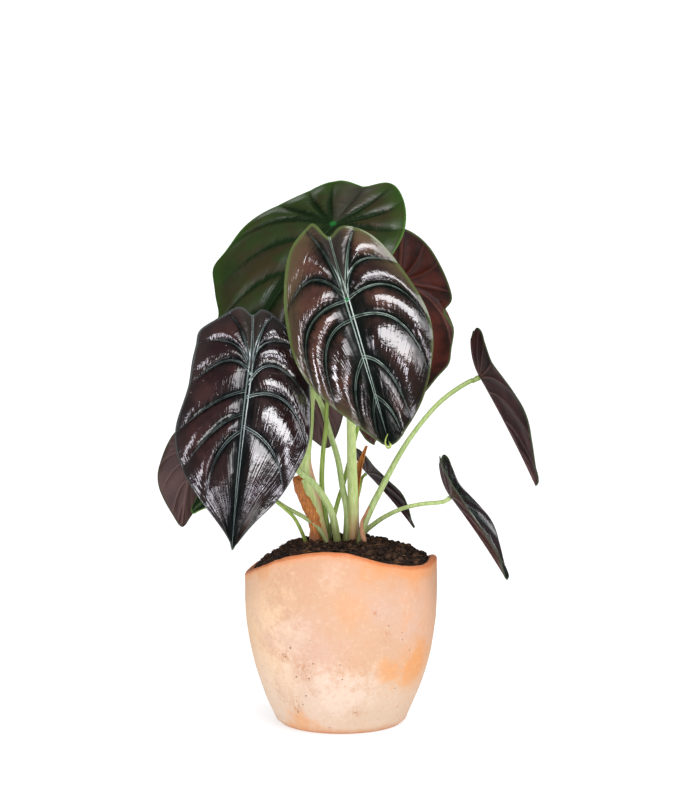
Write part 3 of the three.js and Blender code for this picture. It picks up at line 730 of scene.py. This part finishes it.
def on_soil(rng):
    """A random point on top of the soil."""
    radius = (POT_RADIUS - WALL - 2) * math.sqrt(rng.random())
    angle = rng.random() * 2 * math.pi
    x, y = radius * math.cos(angle), radius * math.sin(angle)
    return np.array((x, y, float(soil_height(x, y))))


def make_soil(material):
    """The soil with loose crumbs and fibres on it. tone: how pale each of them is."""
    crumbs, fibres = 1700, 200
    rng = random.Random(11)
    surface, faces = soil_surface()
    points, tone = list(surface), [0.0] * len(surface)

    def add(body, paleness):
        extra, sides = body
        faces.extend(tuple(i + len(points) for i in face) for face in sides)
        tone.extend([rng.uniform(*paleness)] * len(extra))
        points.extend(extra)

    for _ in range(crumbs):
        size = rng.choice((0.7, 0.9, 0.9, 1.3, 1.3, 2.1, 2.8))
        add(crumb(rng, on_soil(rng) + (0, 0, 0.2 * size), size), (0.1, 0.55))
    for _ in range(fibres):
        add(fibre(rng, on_soil(rng) + (0, 0, 0.7), rng.uniform(2.5, 7)), (0.6, 1))
    return make_piece("peat", np.array(points), faces, [material], dict(tone=tone))


# Materials


def on_wall(px, py):
    """The point of the pot's outside that the photograph shows at a pixel."""
    y = -POT_RADIUS
    for _ in range(9):  # each round brings the depth nearer
        x, _, z = seen((px, py, y))
        y = -math.sqrt(max(0, float(wall_radius(z)) ** 2 - x * x))
    return seen((px, py, y))


def tint(red, green, blue):
    """A colour as screens show it, 0 to 255, as the light that it stands for."""

    def light(value):
        value /= 255
        return value / 12.92 if value <= 0.04045 else ((value + 0.055) / 1.055) ** 2.4

    return (light(red), light(green), light(blue), 1)


# Where the pot is stained: photo pixel, reach in millimetres, strength and colour.
ORANGE, BLOOM = (212, 140, 68), (216, 196, 180)
CLAY_MARKS = (
    ((416, 664), 24, 0.75, ORANGE), ((391, 671), 14, 0.6, ORANGE), ((300, 722), 15, 0.55, ORANGE),
    ((380, 568), 16, 0.45, ORANGE), ((416, 574), 16, 0.5, ORANGE), ((262, 572), 12, 0.45, ORANGE),
    ((350, 606), 18, 0.22, ORANGE), ((345, 692), 27, 0.5, BLOOM), ((290, 640), 20, 0.3, BLOOM),
    ((330, 575), 15, 0.25, BLOOM),
)

# Where it is pitted, and where it is scratched: photo pixel and reach in millimetres.
CLAY_PITS = (
    ((290, 648), 1.1), ((296, 677), 0.9), ((306, 696), 0.8), ((389, 626), 0.8), ((298, 712), 0.9),
    ((285, 657), 0.7), ((303, 705), 0.7), ((355, 713), 0.8), ((283, 655), 0.6), ((310, 641), 0.6),
)
CLAY_SCRATCHES = (
    ((283, 656), 8), ((303, 671), 10), ((296, 706), 9), ((356, 713), 5), ((376, 614), 5),
    ((386, 638), 7),
)


class Flow:
    """One output of a material's nodes. Sums with it add Math nodes."""

    def __init__(self, finish, socket):
        self.finish = finish
        self.socket = socket

    def __add__(self, other):
        return self.finish.math("ADD", self, other)

    def __sub__(self, other):
        return self.finish.math("SUBTRACT", self, other)

    def __rsub__(self, other):
        return self.finish.math("SUBTRACT", other, self)

    def __mul__(self, other):
        return self.finish.math("MULTIPLY", self, other)

    __radd__ = __add__
    __rmul__ = __mul__


class Finish:
    """A material that is put together from nodes."""

    def __init__(self, name):
        self.material = bpy.data.materials.new(name)
        self.material.use_nodes = True
        self.tree = self.material.node_tree
        self.tree.nodes.clear()

    def node(self, kind, settings, inputs, output=0):
        """Adds a node: its settings first, then the values or links of its sockets."""
        added = self.tree.nodes.new("ShaderNode" + kind)
        for key, value in settings.items():
            setattr(added, key, value)
        for key, value in inputs.items():
            if isinstance(value, Flow):
                self.tree.links.new(value.socket, added.inputs[key])
            else:
                added.inputs[key].default_value = value
        return Flow(self, added.outputs[output]) if added.outputs else None

    def math(self, operation, first, second):
        return self.node("Math", {"operation": operation}, {0: first, 1: second})

    def smaller(self, first, second):
        return self.math("MINIMUM", first, second)

    def larger(self, first, second):
        return self.math("MAXIMUM", first, second)

    def size_of(self, value):
        return self.math("ABSOLUTE", value, 0.0)

    def value(self, name):
        """A number that the mesh keeps at each point."""
        return self.node("Attribute", {"attribute_name": name}, {}, output="Fac")

    def values(self, names):
        """Several of them, with spaces between their names."""
        return [self.value(name) for name in names.split()]

    def place_on_leaf(self):
        """The place along a blade's rows, in millimetres."""
        return self.node("Attribute", {"attribute_name": "place"}, {}, output="Vector")

    def where(self):
        """The place on the piece, in millimetres."""
        own = self.node("TexCoord", {}, {}, output="Object")
        return self.stretched(own, (1000, 1000, 1000))

    def stretched(self, place, scale):
        return self.node("VectorMath", {"operation": "MULTIPLY"}, {0: place, 1: scale})

    def noise(self, place, scale, detail=3.0, roughness=0.55, warp=0.0):
        inputs = {"Vector": place, "Scale": scale, "Detail": detail}
        inputs.update({"Roughness": roughness, "Distortion": warp})
        return self.node("TexNoise", {}, inputs, output="Fac")

    def cells(self, place, scale):
        return self.node("TexVoronoi", {}, {"Vector": place, "Scale": scale}, output="Distance")

    def rise(self, value, low, high):
        """0 below low and 1 above high, or the other way where high is the lower one."""
        ends = {"Value": value, "From Min": low, "From Max": high}
        return self.node("MapRange", {"interpolation_type": "SMOOTHSTEP"}, ends)

    def from_spot(self, place, spot):
        """The way from a point, in millimetres."""
        ends = {0: place, 1: tuple(spot)}
        return self.node("VectorMath", {"operation": "DISTANCE"}, ends, output="Value")

    def mix(self, share, first, second):
        """From the first colour to the second. Three numbers are a colour as screens show it."""
        first, second = (
            tint(*colour) if isinstance(colour, tuple) and len(colour) == 3 else colour
            for colour in (first, second)
        )
        return self.node("Mix", {"data_type": "RGBA"}, {0: share, 6: first, 7: second}, output=2)

    def coats(self, colour, *coats):
        """Lays coats over a colour, one after another, each given as its cover and its colour."""
        for cover, coat in coats:
            colour = self.mix(cover, colour, coat)
        return colour

    def bump(self, height):
        """A normal from a height in millimetres."""
        return self.node("Bump", {}, {"Height": height, "Distance": MM, "Strength": 1.0})

    def skin(self, **sockets):
        """A shader. A socket's name has an underscore for each space."""
        names = {key.replace("_", " "): value for key, value in sockets.items()}
        return self.node("BsdfPrincipled", {}, names)

    def shade(self, **sockets):
        """Ends the material in one shader."""
        return self.end(self.skin(**sockets))

    def end(self, surface):
        self.node("OutputMaterial", {}, {"Surface": surface})
        return self.material


def vein_edge_highlights(leaf, strength):
    """Pale lines on both sides of the midrib and of every side vein: painted highlights on the
    edges of the sunken veins, fuller on the right half, which faces the lamps.
    """
    rib_twin, vein_twin, out, half = leaf.values("rib_twin vein_twin out half")
    rib_line = leaf.rise(leaf.size_of(rib_twin - 1.0), 0.5, 0.2)
    vein_line = leaf.rise(leaf.size_of(vein_twin - 1.0), 0.6, 0.2) * leaf.rise(out, 0.98, 0.7)
    faint = leaf.rise(leaf.noise(leaf.where(), 0.12, 2.0), 0.3, 0.6)
    return leaf.larger(rib_line, vein_line * (0.25 + 0.75 * faint) * (0.5 + 0.5 * half)) * strength


def leaf_face(
    name, crest, shadow, hollow, rib_tint_and_glint, edge_tint, gloss,
    valley=5.5, line=0.7, edge_width=2.4, wash=0.0, wrinkle=0.22, relief=0.0, fall=0.0, lean=0.0,
    shine=1.85, specks=0.0, dusk=0.0, calm=0.0, wash_tint=None, hub=((24, 110, 60), 2.6),
):
    """The upper side: swellings between dark hollows, partly the leaf's own dark green and partly
    painted shade, and pale twin lines along every vein, which are painted highlights.

    valley, edge_width: how far the hollows and the margin's line reach. wrinkle, relief, fall, lean:
    heights of the wrinkles and the swellings, and drop to the margins and the ends. line, wash,
    specks, dusk: how much shows of the twin lines (painted highlights), the margin's wash, white
    dots (painted highlights) and the painted shade in the lows between the swellings.
    shine: index of refraction. calm: how dull the left half is. hub: the colour and reach of a spot.
    """
    leaf = Finish(name)
    vein, rib, edge, out, down = leaf.values("vein rib edge out down")
    vein_twin, rib_twin, pillow, row, half, from_hub = leaf.values(
        "vein_twin rib_twin pillow row half from_hub"
    )
    spot = leaf.where()
    broad = leaf.noise(spot, 0.045, 3.0)
    fine = leaf.noise(leaf.stretched(leaf.place_on_leaf(), (1.0, 0.12, 1)), 0.5, 2.0, 0.4)
    dents = leaf.noise(spot, 0.13, 3.0, 0.5)
    uneven_fine, uneven = fine - 0.5, dents - 0.5

    # pale twin lines: painted highlights on the edges of the sunken veins
    lines = vein_edge_highlights(leaf, line)
    # dark hollows along the veins and the midrib: partly the leaf's own dark green, partly painted shade
    # in the sunken valleys
    near = leaf.smaller(rib * 0.45, vein + 3.4 * leaf.rise(out, 0.35, 1.0))
    hollows = leaf.rise(near + 5 * uneven_fine + 3 * uneven, valley, valley * 0.2)
    # painted shade: the low parts of each swelling are darkened towards the hollow colour
    low = leaf.rise(pillow + 0.6 * uneven_fine + 0.7 * uneven, 0.85, 0.25) * dusk
    off_lobes = leaf.rise(down, -0.3, 0.4) * (0.6 + half)
    washed = leaf.rise(edge + 7 * uneven + 9 * off_lobes, 18.0, 2.0)
    narrowing = leaf.rise(down, -0.2, 0.7) * 0.4 * edge_width
    rim = leaf.rise(edge + 1.6 * uneven + narrowing, edge_width, edge_width * 0.35)
    hub_tint, hub_reach = hub
    colour = leaf.coats(
        leaf.mix(leaf.rise(broad + 0.1 * half + 0.1 * down, 0.42, 0.66), crest, shadow),
        (low, hollow),
        (washed * wash, wash_tint or edge_tint),
        (hollows, hollow),
        (leaf.rise(row, 0.12, 0.04) * 0.5, (70, 62, 56)),
        (rim * (0.95 - 0.3 * half), edge_tint),
        # the twin lines take a pale tint as painted highlights
        (lines, rib_tint_and_glint),
        (leaf.rise(from_hub, hub_reach, hub_reach * 0.3) * 0.8, hub_tint),
        # white dots of painted highlight
        (leaf.rise(leaf.cells(spot, 0.12), 0.075, 0.045) * specks, (168, 160, 150)),
    )

    wrinkles = wrinkle * fine * leaf.rise(near, 0.8, 4.0)
    form = relief * pillow - fall * out + lean * leaf.size_of(down)
    between_lines = leaf.rise(leaf.smaller(rib_twin, vein_twin), 1.2, 0.5)
    normal = leaf.bump(wrinkles + 0.6 * dents + form + 0.35 * between_lines + 0.2 * lines)
    roughness = gloss + 0.08 * uneven_fine
    glossy = leaf.skin(Base_Color=colour, Roughness=roughness, Normal=normal, IOR=shine)
    dull = leaf.skin(Base_Color=colour, Roughness=roughness + 0.3, Normal=normal, IOR=1.15)
    sunk = leaf.larger(leaf.larger(hollows, low), calm * (1 - half))
    return leaf.end(leaf.node("MixShader", {}, {0: sunk * (1 - lines), 1: glossy, 2: dull}))


def leaf_under(name, ground, deep, rib_tint_and_glint, edge_tint, gloss):
    """The underside: matt, with every vein standing up in a paler line."""
    leaf = Finish(name)
    vein, rib, edge, out = leaf.values("vein rib edge out")
    broad = leaf.noise(leaf.where(), 0.04, 3.0)
    fine = leaf.noise(leaf.stretched(leaf.place_on_leaf(), (1.0, 0.2, 1)), 0.6, 3.0)
    lines = leaf.larger(leaf.rise(rib, 1.9, 0.9), leaf.rise(vein, 1.1, 0.35) * (1 - 0.55 * out))
    colour = leaf.coats(
        leaf.mix(leaf.rise(broad, 0.35, 0.65), ground, deep),
        (leaf.rise(leaf.smaller(vein, rib), 4.5, 1.2) * 0.4, deep),
        (lines * 0.5, rib_tint_and_glint),
        (leaf.rise(edge, 1.5, 0.6), edge_tint),
    )
    normal = leaf.bump(0.5 * lines + 0.12 * fine)
    return leaf.shade(Base_Color=colour, Roughness=gloss + 0.12 * (fine - 0.5), Normal=normal, IOR=1.36)


def stalk_skin(name, front, back, foot_tint_and_shade, base_top, olive_from=400):
    """Juicy green with long fine streaks, another colour at the foot, and olive above a height. The
    foot is a real pink on some stalks and olive painted shade near the soil on the others.
    """
    stalk = Finish(name)
    height, wing = stalk.values("height wing")
    spot = stalk.where()
    streaks = stalk.noise(stalk.stretched(spot, (1, 1, 0.06)), 0.8, 3.0)
    mottle = stalk.noise(spot, 0.07, 2.0)
    colour = stalk.coats(
        stalk.mix(stalk.rise(streaks, 0.35, 0.68), front, back),
        # the foot colour: real pink on some stalks, olive painted shade near the soil on the others
        (stalk.rise(height + 0.7 * base_top * (mottle - 0.5), base_top, 0.0) * 0.85, foot_tint_and_shade),
        (stalk.rise(height, olive_from, olive_from + 90) * 0.7, (112, 132, 54)),
        (stalk.rise(stalk.noise(spot, 0.9, 2.0), 0.68, 0.78) * 0.3, foot_tint_and_shade),
        (stalk.rise(wing, 0.05, 0.45) * 0.85, (214, 160, 132)),
    )
    return stalk.shade(
        Base_Color=colour, Roughness=0.42 + 0.15 * (streaks - 0.5),
        Normal=stalk.bump(0.16 * streaks + 0.05 * mottle),
        Subsurface_Weight=0.15, Subsurface_Radius=(0.6, 0.9, 0.3), Subsurface_Scale=0.002,
    )


def dry_skin(name, light, dark, foot):
    """Papery fibre with darker streaks and pale torn edges."""
    dry = Finish(name)
    up, across = dry.values("up_stalk across")
    spot = dry.where()
    fibres = dry.noise(dry.stretched(spot, (1, 1, 0.12)), 1.1, 4.0, 0.65)
    blotch = dry.noise(spot, 0.22, 3.0)
    colour = dry.coats(
        dry.mix(dry.rise(fibres, 0.3, 0.7), light, dark),
        (dry.rise(blotch, 0.5, 0.7) * 0.7, dark),
        (dry.rise(up + 0.3 * (blotch - 0.5), 0.42, 0.1) * 0.8, foot),
        (dry.rise(dry.size_of(across), 0.8, 0.98) * 0.5, light),
    )
    normal = dry.bump(0.4 * fibres + 0.5 * blotch)
    return dry.shade(Base_Color=colour, Roughness=0.55 + 0.2 * (fibres - 0.5), Normal=normal)


def clay_scratches(pot, spot, cloud, mottle):
    """Worn streaks all over, and the scratches on the front."""
    streak = pot.noise(pot.stretched(spot, (1, 1, 0.45)), 0.75, 3.0, 0.6, 0.8)
    scratch = pot.rise(streak, 0.62, 0.7) * pot.rise(cloud, 0.5, 0.6) * 0.6
    for mark, reach in CLAY_SCRATCHES:
        shape = pot.from_spot(spot, on_wall(*mark)) + reach * (mottle - 0.5)
        worn = pot.rise(shape, reach, reach * 0.3) * pot.rise(streak, 0.52, 0.6)
        scratch = pot.larger(scratch, worn)
    return scratch


def clay_pits(pot, spot, sand):
    """Small pits all over, and the larger ones on the front."""
    pits = pot.rise(pot.cells(spot, 0.085), 0.05, 0.028)
    for mark, reach in CLAY_PITS:
        shape = pot.from_spot(spot, on_wall(*mark)) + 1.2 * (sand - 0.5)
        pits = pot.larger(pits, pot.rise(shape, reach, reach * 0.3))
    return pits


def clay():
    """Peach terracotta: orange at the rim and the foot, with a chalky bloom lower down, and painted
    shade below the rim and on the inside of the wall.
    """
    pot = Finish("terracotta")
    spot = pot.where()
    below, inside = pot.values("below_rim inside")
    side, height = (pot.node("SeparateXYZ", {}, {"Vector": spot}, output=axis) for axis in "XZ")
    broad = pot.noise(spot, 0.018, 3.0)
    cloud = pot.noise(spot, 0.05, 6.0, 0.68)
    mottle = pot.noise(spot, 0.3, 5.0, 0.72)
    sand = pot.noise(spot, 1.1, 4.0, 0.7)
    drift = 90 * (cloud - 0.5) + 34 * (mottle - 0.5)

    def stain(mark, reach, strength, shade):
        shape = pot.from_spot(spot, on_wall(*mark)) + reach * 0.03 * drift
        return pot.rise(shape, reach, reach * 0.25) * strength, shade

    burnt = pot.rise(below + 0.16 * drift - 4 * pot.rise(side, 0.0, 60.0), 8.0, 0.5)
    scratch = clay_scratches(pot, spot, cloud, mottle)
    pits = clay_pits(pot, spot, sand)
    specks = pot.rise(pot.cells(spot, 0.3), 0.13, 0.06) * pot.rise(cloud, 0.48, 0.6)
    colour = pot.coats(
        pot.mix(pot.rise(broad, 0.35, 0.65), (196, 161, 139), (195, 156, 125)),
        (pot.rise(side + drift, -26.0, -64.0) * 0.6, (234, 202, 162)),
        (pot.rise(height + drift, 66.0, 22.0) * 0.6, (211, 192, 171)),
        (pot.rise(side + drift, 36.0, 66.0) * 0.4, (216, 156, 108)),
        *(stain(*mark) for mark in CLAY_MARKS),
        # painted shade: darker near the rim, to tone down the upper wall that the lamps from above light
        # most
        (pot.rise(below + 0.5 * drift, 34.0, 6.0) * 0.35, (196, 142, 106)),
        (burnt * 0.6, (212, 136, 78)),
        (pot.rise(below + 0.05 * drift, 3.4, 1.2) * 0.8, (188, 104, 52)),
        (pot.rise(height + 0.14 * drift, 7.0, 0.5) * 0.6, (206, 140, 86)),
        (pot.rise(height + 0.03 * drift, 2.4, 0.6) * 0.6, (190, 110, 52)),
        (pot.rise(mottle, 0.52, 0.72) * 0.42, (200, 142, 102)),
        (pot.rise(mottle, 0.47, 0.28) * 0.24, (226, 202, 178)),
        (pot.rise(sand, 0.56, 0.72) * 0.25, (176, 122, 88)),
        (scratch * 0.6, (188, 118, 70)),
        (pits * 0.85, (84, 54, 34)),
        (specks * 0.6, (160, 104, 72)),
        # painted shade: the inside of the wall turns darker red-brown deeper below the rim
        (inside * pot.rise(below + 0.1 * drift, 2.0, 7.0) * 0.75, (176, 88, 40)),
    )
    normal = pot.bump(0.14 * sand + 0.3 * mottle - 0.5 * pits - 0.2 * specks - 0.12 * scratch)
    return pot.shade(Base_Color=colour, Roughness=0.78 + 0.14 * (sand - 0.5), Normal=normal)


def peat():
    """Dark and crumbly, with paler crumbs, tan fibres and grit."""
    soil = Finish("peat")
    tone, spot = soil.value("tone"), soil.where()
    clods = soil.noise(spot, 0.35, 4.0, 0.7)
    grit = soil.noise(spot, 2.2, 3.0, 0.7)
    colour = soil.coats(
        soil.mix(soil.rise(clods, 0.35, 0.65), (20, 15, 13), (54, 41, 34)),
        (soil.rise(tone, 0.1, 0.55) * 0.6, (98, 72, 54)),
        (soil.rise(tone, 0.62, 0.95) * 0.9, (156, 118, 76)),
        (soil.rise(grit, 0.62, 0.72) * 0.6, (140, 106, 72)),
    )
    normal = soil.bump(1.1 * clods + 0.4 * grit)
    return soil.shade(Base_Color=colour, Roughness=0.95 - 0.15 * grit, Normal=normal, IOR=1.2)


def corm_bark():
    """Brown bark with rings."""
    bark = Finish("corm_bark")
    rings = bark.noise(bark.stretched(bark.where(), (0.25, 0.25, 1)), 0.5, 4.0)
    colour = bark.mix(bark.rise(rings, 0.35, 0.65), (138, 98, 66), (84, 58, 40))
    return bark.shade(Base_Color=colour, Roughness=0.8 + 0.1 * (rings - 0.5), Normal=bark.bump(rings))


def white_paper():
    """Paper that is evenly lit, with a painted shadow: a little darker close round the pot's foot."""
    paper = Finish("white_paper")
    place = paper.where()
    fibres = paper.noise(place, 0.02, 2.0)
    # painted shadow: the paper's glow is dimmed close round the pot's foot
    foot = paper.rise(paper.from_spot(place, (0, 0, 0)), 2.1 * FOOT_RADIUS, 0.9 * FOOT_RADIUS)
    glow_with_painted_shadow = paper.mix(foot, (1, 1, 1, 1), (0.8, 0.8, 0.8, 1))
    colour = paper.mix(fibres, (0.3, 0.3, 0.3, 1), (0.34, 0.34, 0.34, 1))
    return paper.shade(Base_Color=colour, Roughness=0.9, Emission_Color=glow_with_painted_shadow, Emission_Strength=0.86)


# Camera, floor and light


def make_camera():
    data = bpy.data.cameras.new("camera")
    data.sensor_width = SENSOR
    data.lens = SENSOR * FOCAL_PIXELS / max(PHOTO_SIZE)
    camera = new_object("camera", data)
    camera.location = EYE * MM
    camera.rotation_euler = (math.pi / 2 - LOOK_DOWN, 0, 0)
    bpy.context.scene.camera = camera


def softbox(name, place, aim, size, power, colour=(1, 1, 1)):
    """A flat lamp. Its place, aim and size are in metres, and its power in watts."""
    data = bpy.data.lights.new(name, "AREA")
    data.shape = "RECTANGLE"
    data.size, data.size_y = size
    data.energy = power
    data.color = colour
    light = new_object(name, data)
    light.location = place
    light.rotation_euler = (Vector(aim) - Vector(place)).to_track_quat("-Z", "Y").to_euler()


def make_backdrop():
    """A sweep of white paper that lies under the pot and curves up behind it. In metres."""
    half_width, front, back, bend, top = 1.3, -0.45, 1.0, 0.6, 1.5
    angles = np.linspace(0, math.pi / 2, 13)
    profile = [(front, 0)]
    profile += [(back + bend * math.sin(a), bend - bend * math.cos(a)) for a in angles]
    profile.append((back + bend, top))
    points = [(x, y, z) for y, z in profile for x in (-half_width, half_width)]
    mesh = bpy.data.meshes.new("paper_sweep")
    strips = [(2 * i, 2 * i + 1, 2 * i + 3, 2 * i + 2) for i in range(len(profile) - 1)]
    mesh.from_pydata(points, [], strips)
    mesh.materials.append(white_paper())
    mesh.shade_smooth()
    new_object("paper_sweep", mesh)


def light_studio():
    """Soft light from above, from both sides and from low in front, in a dim white room."""
    world = bpy.data.worlds.new("studio")
    world.use_nodes = True
    room = world.node_tree.nodes["Background"]
    room.inputs["Color"].default_value = (1, 1, 1, 1)
    room.inputs["Strength"].default_value = 0.1
    bpy.context.scene.world = world
    plant = (0, 0, 0.26)
    softbox("key", (0.52, -1.04, 1.64), plant, (1.75, 0.9), 34.5, (0.98, 0.97, 1))
    softbox("window", (1.15, -0.15, 1.0), plant, (0.6, 1.1), 7, (0.96, 0.96, 1))
    softbox("card", (0.25, -1.14, 0.66), plant, (0.42, 0.24), 2.8, (0.94, 0.91, 1))
    softbox("low_fill", (0.1, -1.3, 0.04), (0, 0, 0.22), (0.9, 0.3), 6.5)
    softbox("strip", (-1.15, -0.75, 0.45), plant, (0.3, 0.7), 8.5, (0.95, 0.92, 1))
    bpy.context.scene.view_settings.view_transform = "Standard"


# Pieces of the plant


def leaf_faces():
    """The upper sides by the names of their leaves, and that of all others."""
    return {
        "front_centre": leaf_face(
            "copper_face", (74, 46, 36), (36, 19, 15), (6, 12, 9), (132, 156, 142), (80, 94, 50),
            gloss=0.14, wash=0.5, wash_tint=(104, 90, 64), edge_width=3.4, valley=7.2, wrinkle=0.3,
            relief=1.2, shine=2.0, dusk=0.65,
        ),
        "front_left": leaf_face(
            "plum_face", (52, 31, 30), (33, 18, 19), (6, 10, 10), (124, 142, 138), (70, 76, 74),
            gloss=0.14, wash=0.1, edge_width=2.2, wrinkle=0.36, relief=0.6, fall=6, lean=16,
            shine=2.15, specks=0.4, dusk=0.4, calm=0.6, hub=((90, 110, 100), 1.6),
        ),
        "back_top": leaf_face(
            "olive_face", (36, 50, 17), (46, 41, 19), (18, 34, 12), (40, 62, 34), (60, 104, 26),
            gloss=0.36, wash=0.2, edge_width=1.7, valley=4.5, line=0.3, wrinkle=0.08, relief=1.5,
            shine=1.5, dusk=0.35, hub=((30, 104, 44), 4.0),
        ),
        "low_left": leaf_face(
            "green_face", (40, 60, 28), (38, 44, 24), (24, 42, 20), (110, 140, 84), (76, 120, 42),
            gloss=0.35, line=0.4, edge_width=1.4, shine=1.45,
        ),
        "others": leaf_face(
            "dark_green_face", (22, 26, 22), (30, 18, 22), (10, 18, 14), (96, 122, 108), (52, 70, 40),
            gloss=0.18, line=0.4, edge_width=1.6,
        ),
    }


def leaf_undersides():
    """The undersides by the names of their leaves, and that of all others."""
    red = leaf_under("red_underside", (84, 35, 27), (30, 12, 10), (108, 52, 36), (60, 72, 30), 0.4)
    maroon = leaf_under("maroon_underside", (66, 31, 33), (32, 13, 15), (104, 74, 70), (50, 58, 36), 0.45)
    mauve = leaf_under("mauve_underside", (84, 60, 58), (64, 44, 43), (104, 78, 72), (60, 56, 40), 0.5)
    green = leaf_under(
        "green_underside", (104, 112, 78), (96, 84, 72), (140, 150, 104), (90, 124, 50), 0.5,
    )
    return {
        "back_top": green, "low_left": green, "far_left": mauve, "middle": mauve,
        "low_right": maroon, "far_right_upper": maroon, "far_right_lower": maroon, "others": red,
    }


def dress_leaves():
    faces, undersides = leaf_faces(), leaf_undersides()
    for name, leaf in LEAVES.items():
        step, columns = FINE_MESHES.get(name, PLAIN_MESH)
        materials = [skins.get(name, skins["others"]) for skins in (faces, undersides)]
        blade = make_blade(name, leaf, step, columns, materials)
        slot = "blade_olive" if name in ("back_top", "low_left") else "blade_dark"
        settle(blade, f"blade_{name}", slot=slot)


def stalk_skins():
    """The skins by the names of their stalks, and that of all others."""
    pink_foot = stalk_skin("pink_footed_stalk_skin", (214, 230, 158), (188, 214, 126), (176, 116, 84), 34)
    # its olive foot colour is painted shade near the soil
    soft_green = (190, 206, 142), (158, 186, 106), (90, 90, 34), 30
    green_foot = stalk_skin("green_footed_stalk_skin", *soft_green)
    arched = stalk_skin("arched_stalk_skin", *soft_green, olive_from=50)
    # painted shade: a darker copy of the green stalk skin for the stalks behind and under other leaves,
    # with an olive painted-shade foot
    deep = stalk_skin("shaded_green_stalk_skin", (168, 190, 90), (128, 160, 64), (88, 100, 38), 20)
    return {
        "back_top": pink_foot, "front_centre": pink_foot, "far_right_upper": arched,
        "back_right": deep, "low_right": deep, "inner": deep, "low_left": deep, "others": green_foot,
    }


def dress_stalks():
    skins = stalk_skins()
    for name, leaf in LEAVES.items():
        stalk = make_stalk(name, leaf, skins.get(name, skins["others"]))
        settle(stalk, f"stalk_{name}", slot="stalk")
    fresh = stalk_skin("yellow_green_tip", (170, 178, 84), (116, 140, 52), (90, 118, 52), 1)
    settle(make_drip_tip(fresh), slot="blade_dark")


def dress_sheaths():
    rust = dry_skin("rust_sheath_skin", (208, 132, 54), (142, 76, 28), (92, 62, 48))
    tan = dry_skin("tan_sheath_skin", (204, 152, 112), (150, 98, 68), (150, 110, 80))
    for name, sheath in SHEATHS.items():
        skin = tan if name == "sheath_small" else rust
        settle(make_sheath(name, sheath, skin), name, slot="sheath")


def restyle(node, material):
    """Gives a node that keeps its own mesh another finish."""
    node.data.materials.clear()
    node.data.materials.append(material)


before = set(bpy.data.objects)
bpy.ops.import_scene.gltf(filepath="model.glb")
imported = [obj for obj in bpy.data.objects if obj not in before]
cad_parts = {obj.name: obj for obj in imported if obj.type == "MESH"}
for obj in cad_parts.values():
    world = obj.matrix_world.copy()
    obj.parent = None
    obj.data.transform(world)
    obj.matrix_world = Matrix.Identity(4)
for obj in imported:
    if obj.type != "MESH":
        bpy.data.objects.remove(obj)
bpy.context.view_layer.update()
make_camera()
make_backdrop()
light_studio()
dress_leaves()
dress_stalks()
dress_sheaths()
settle(make_pot(clay()), "pot", slot="terracotta")
settle(make_soil(peat()), "soil", slot="soil")
restyle(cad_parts["corm"], corm_bark())
bpy.context.view_layer.update()
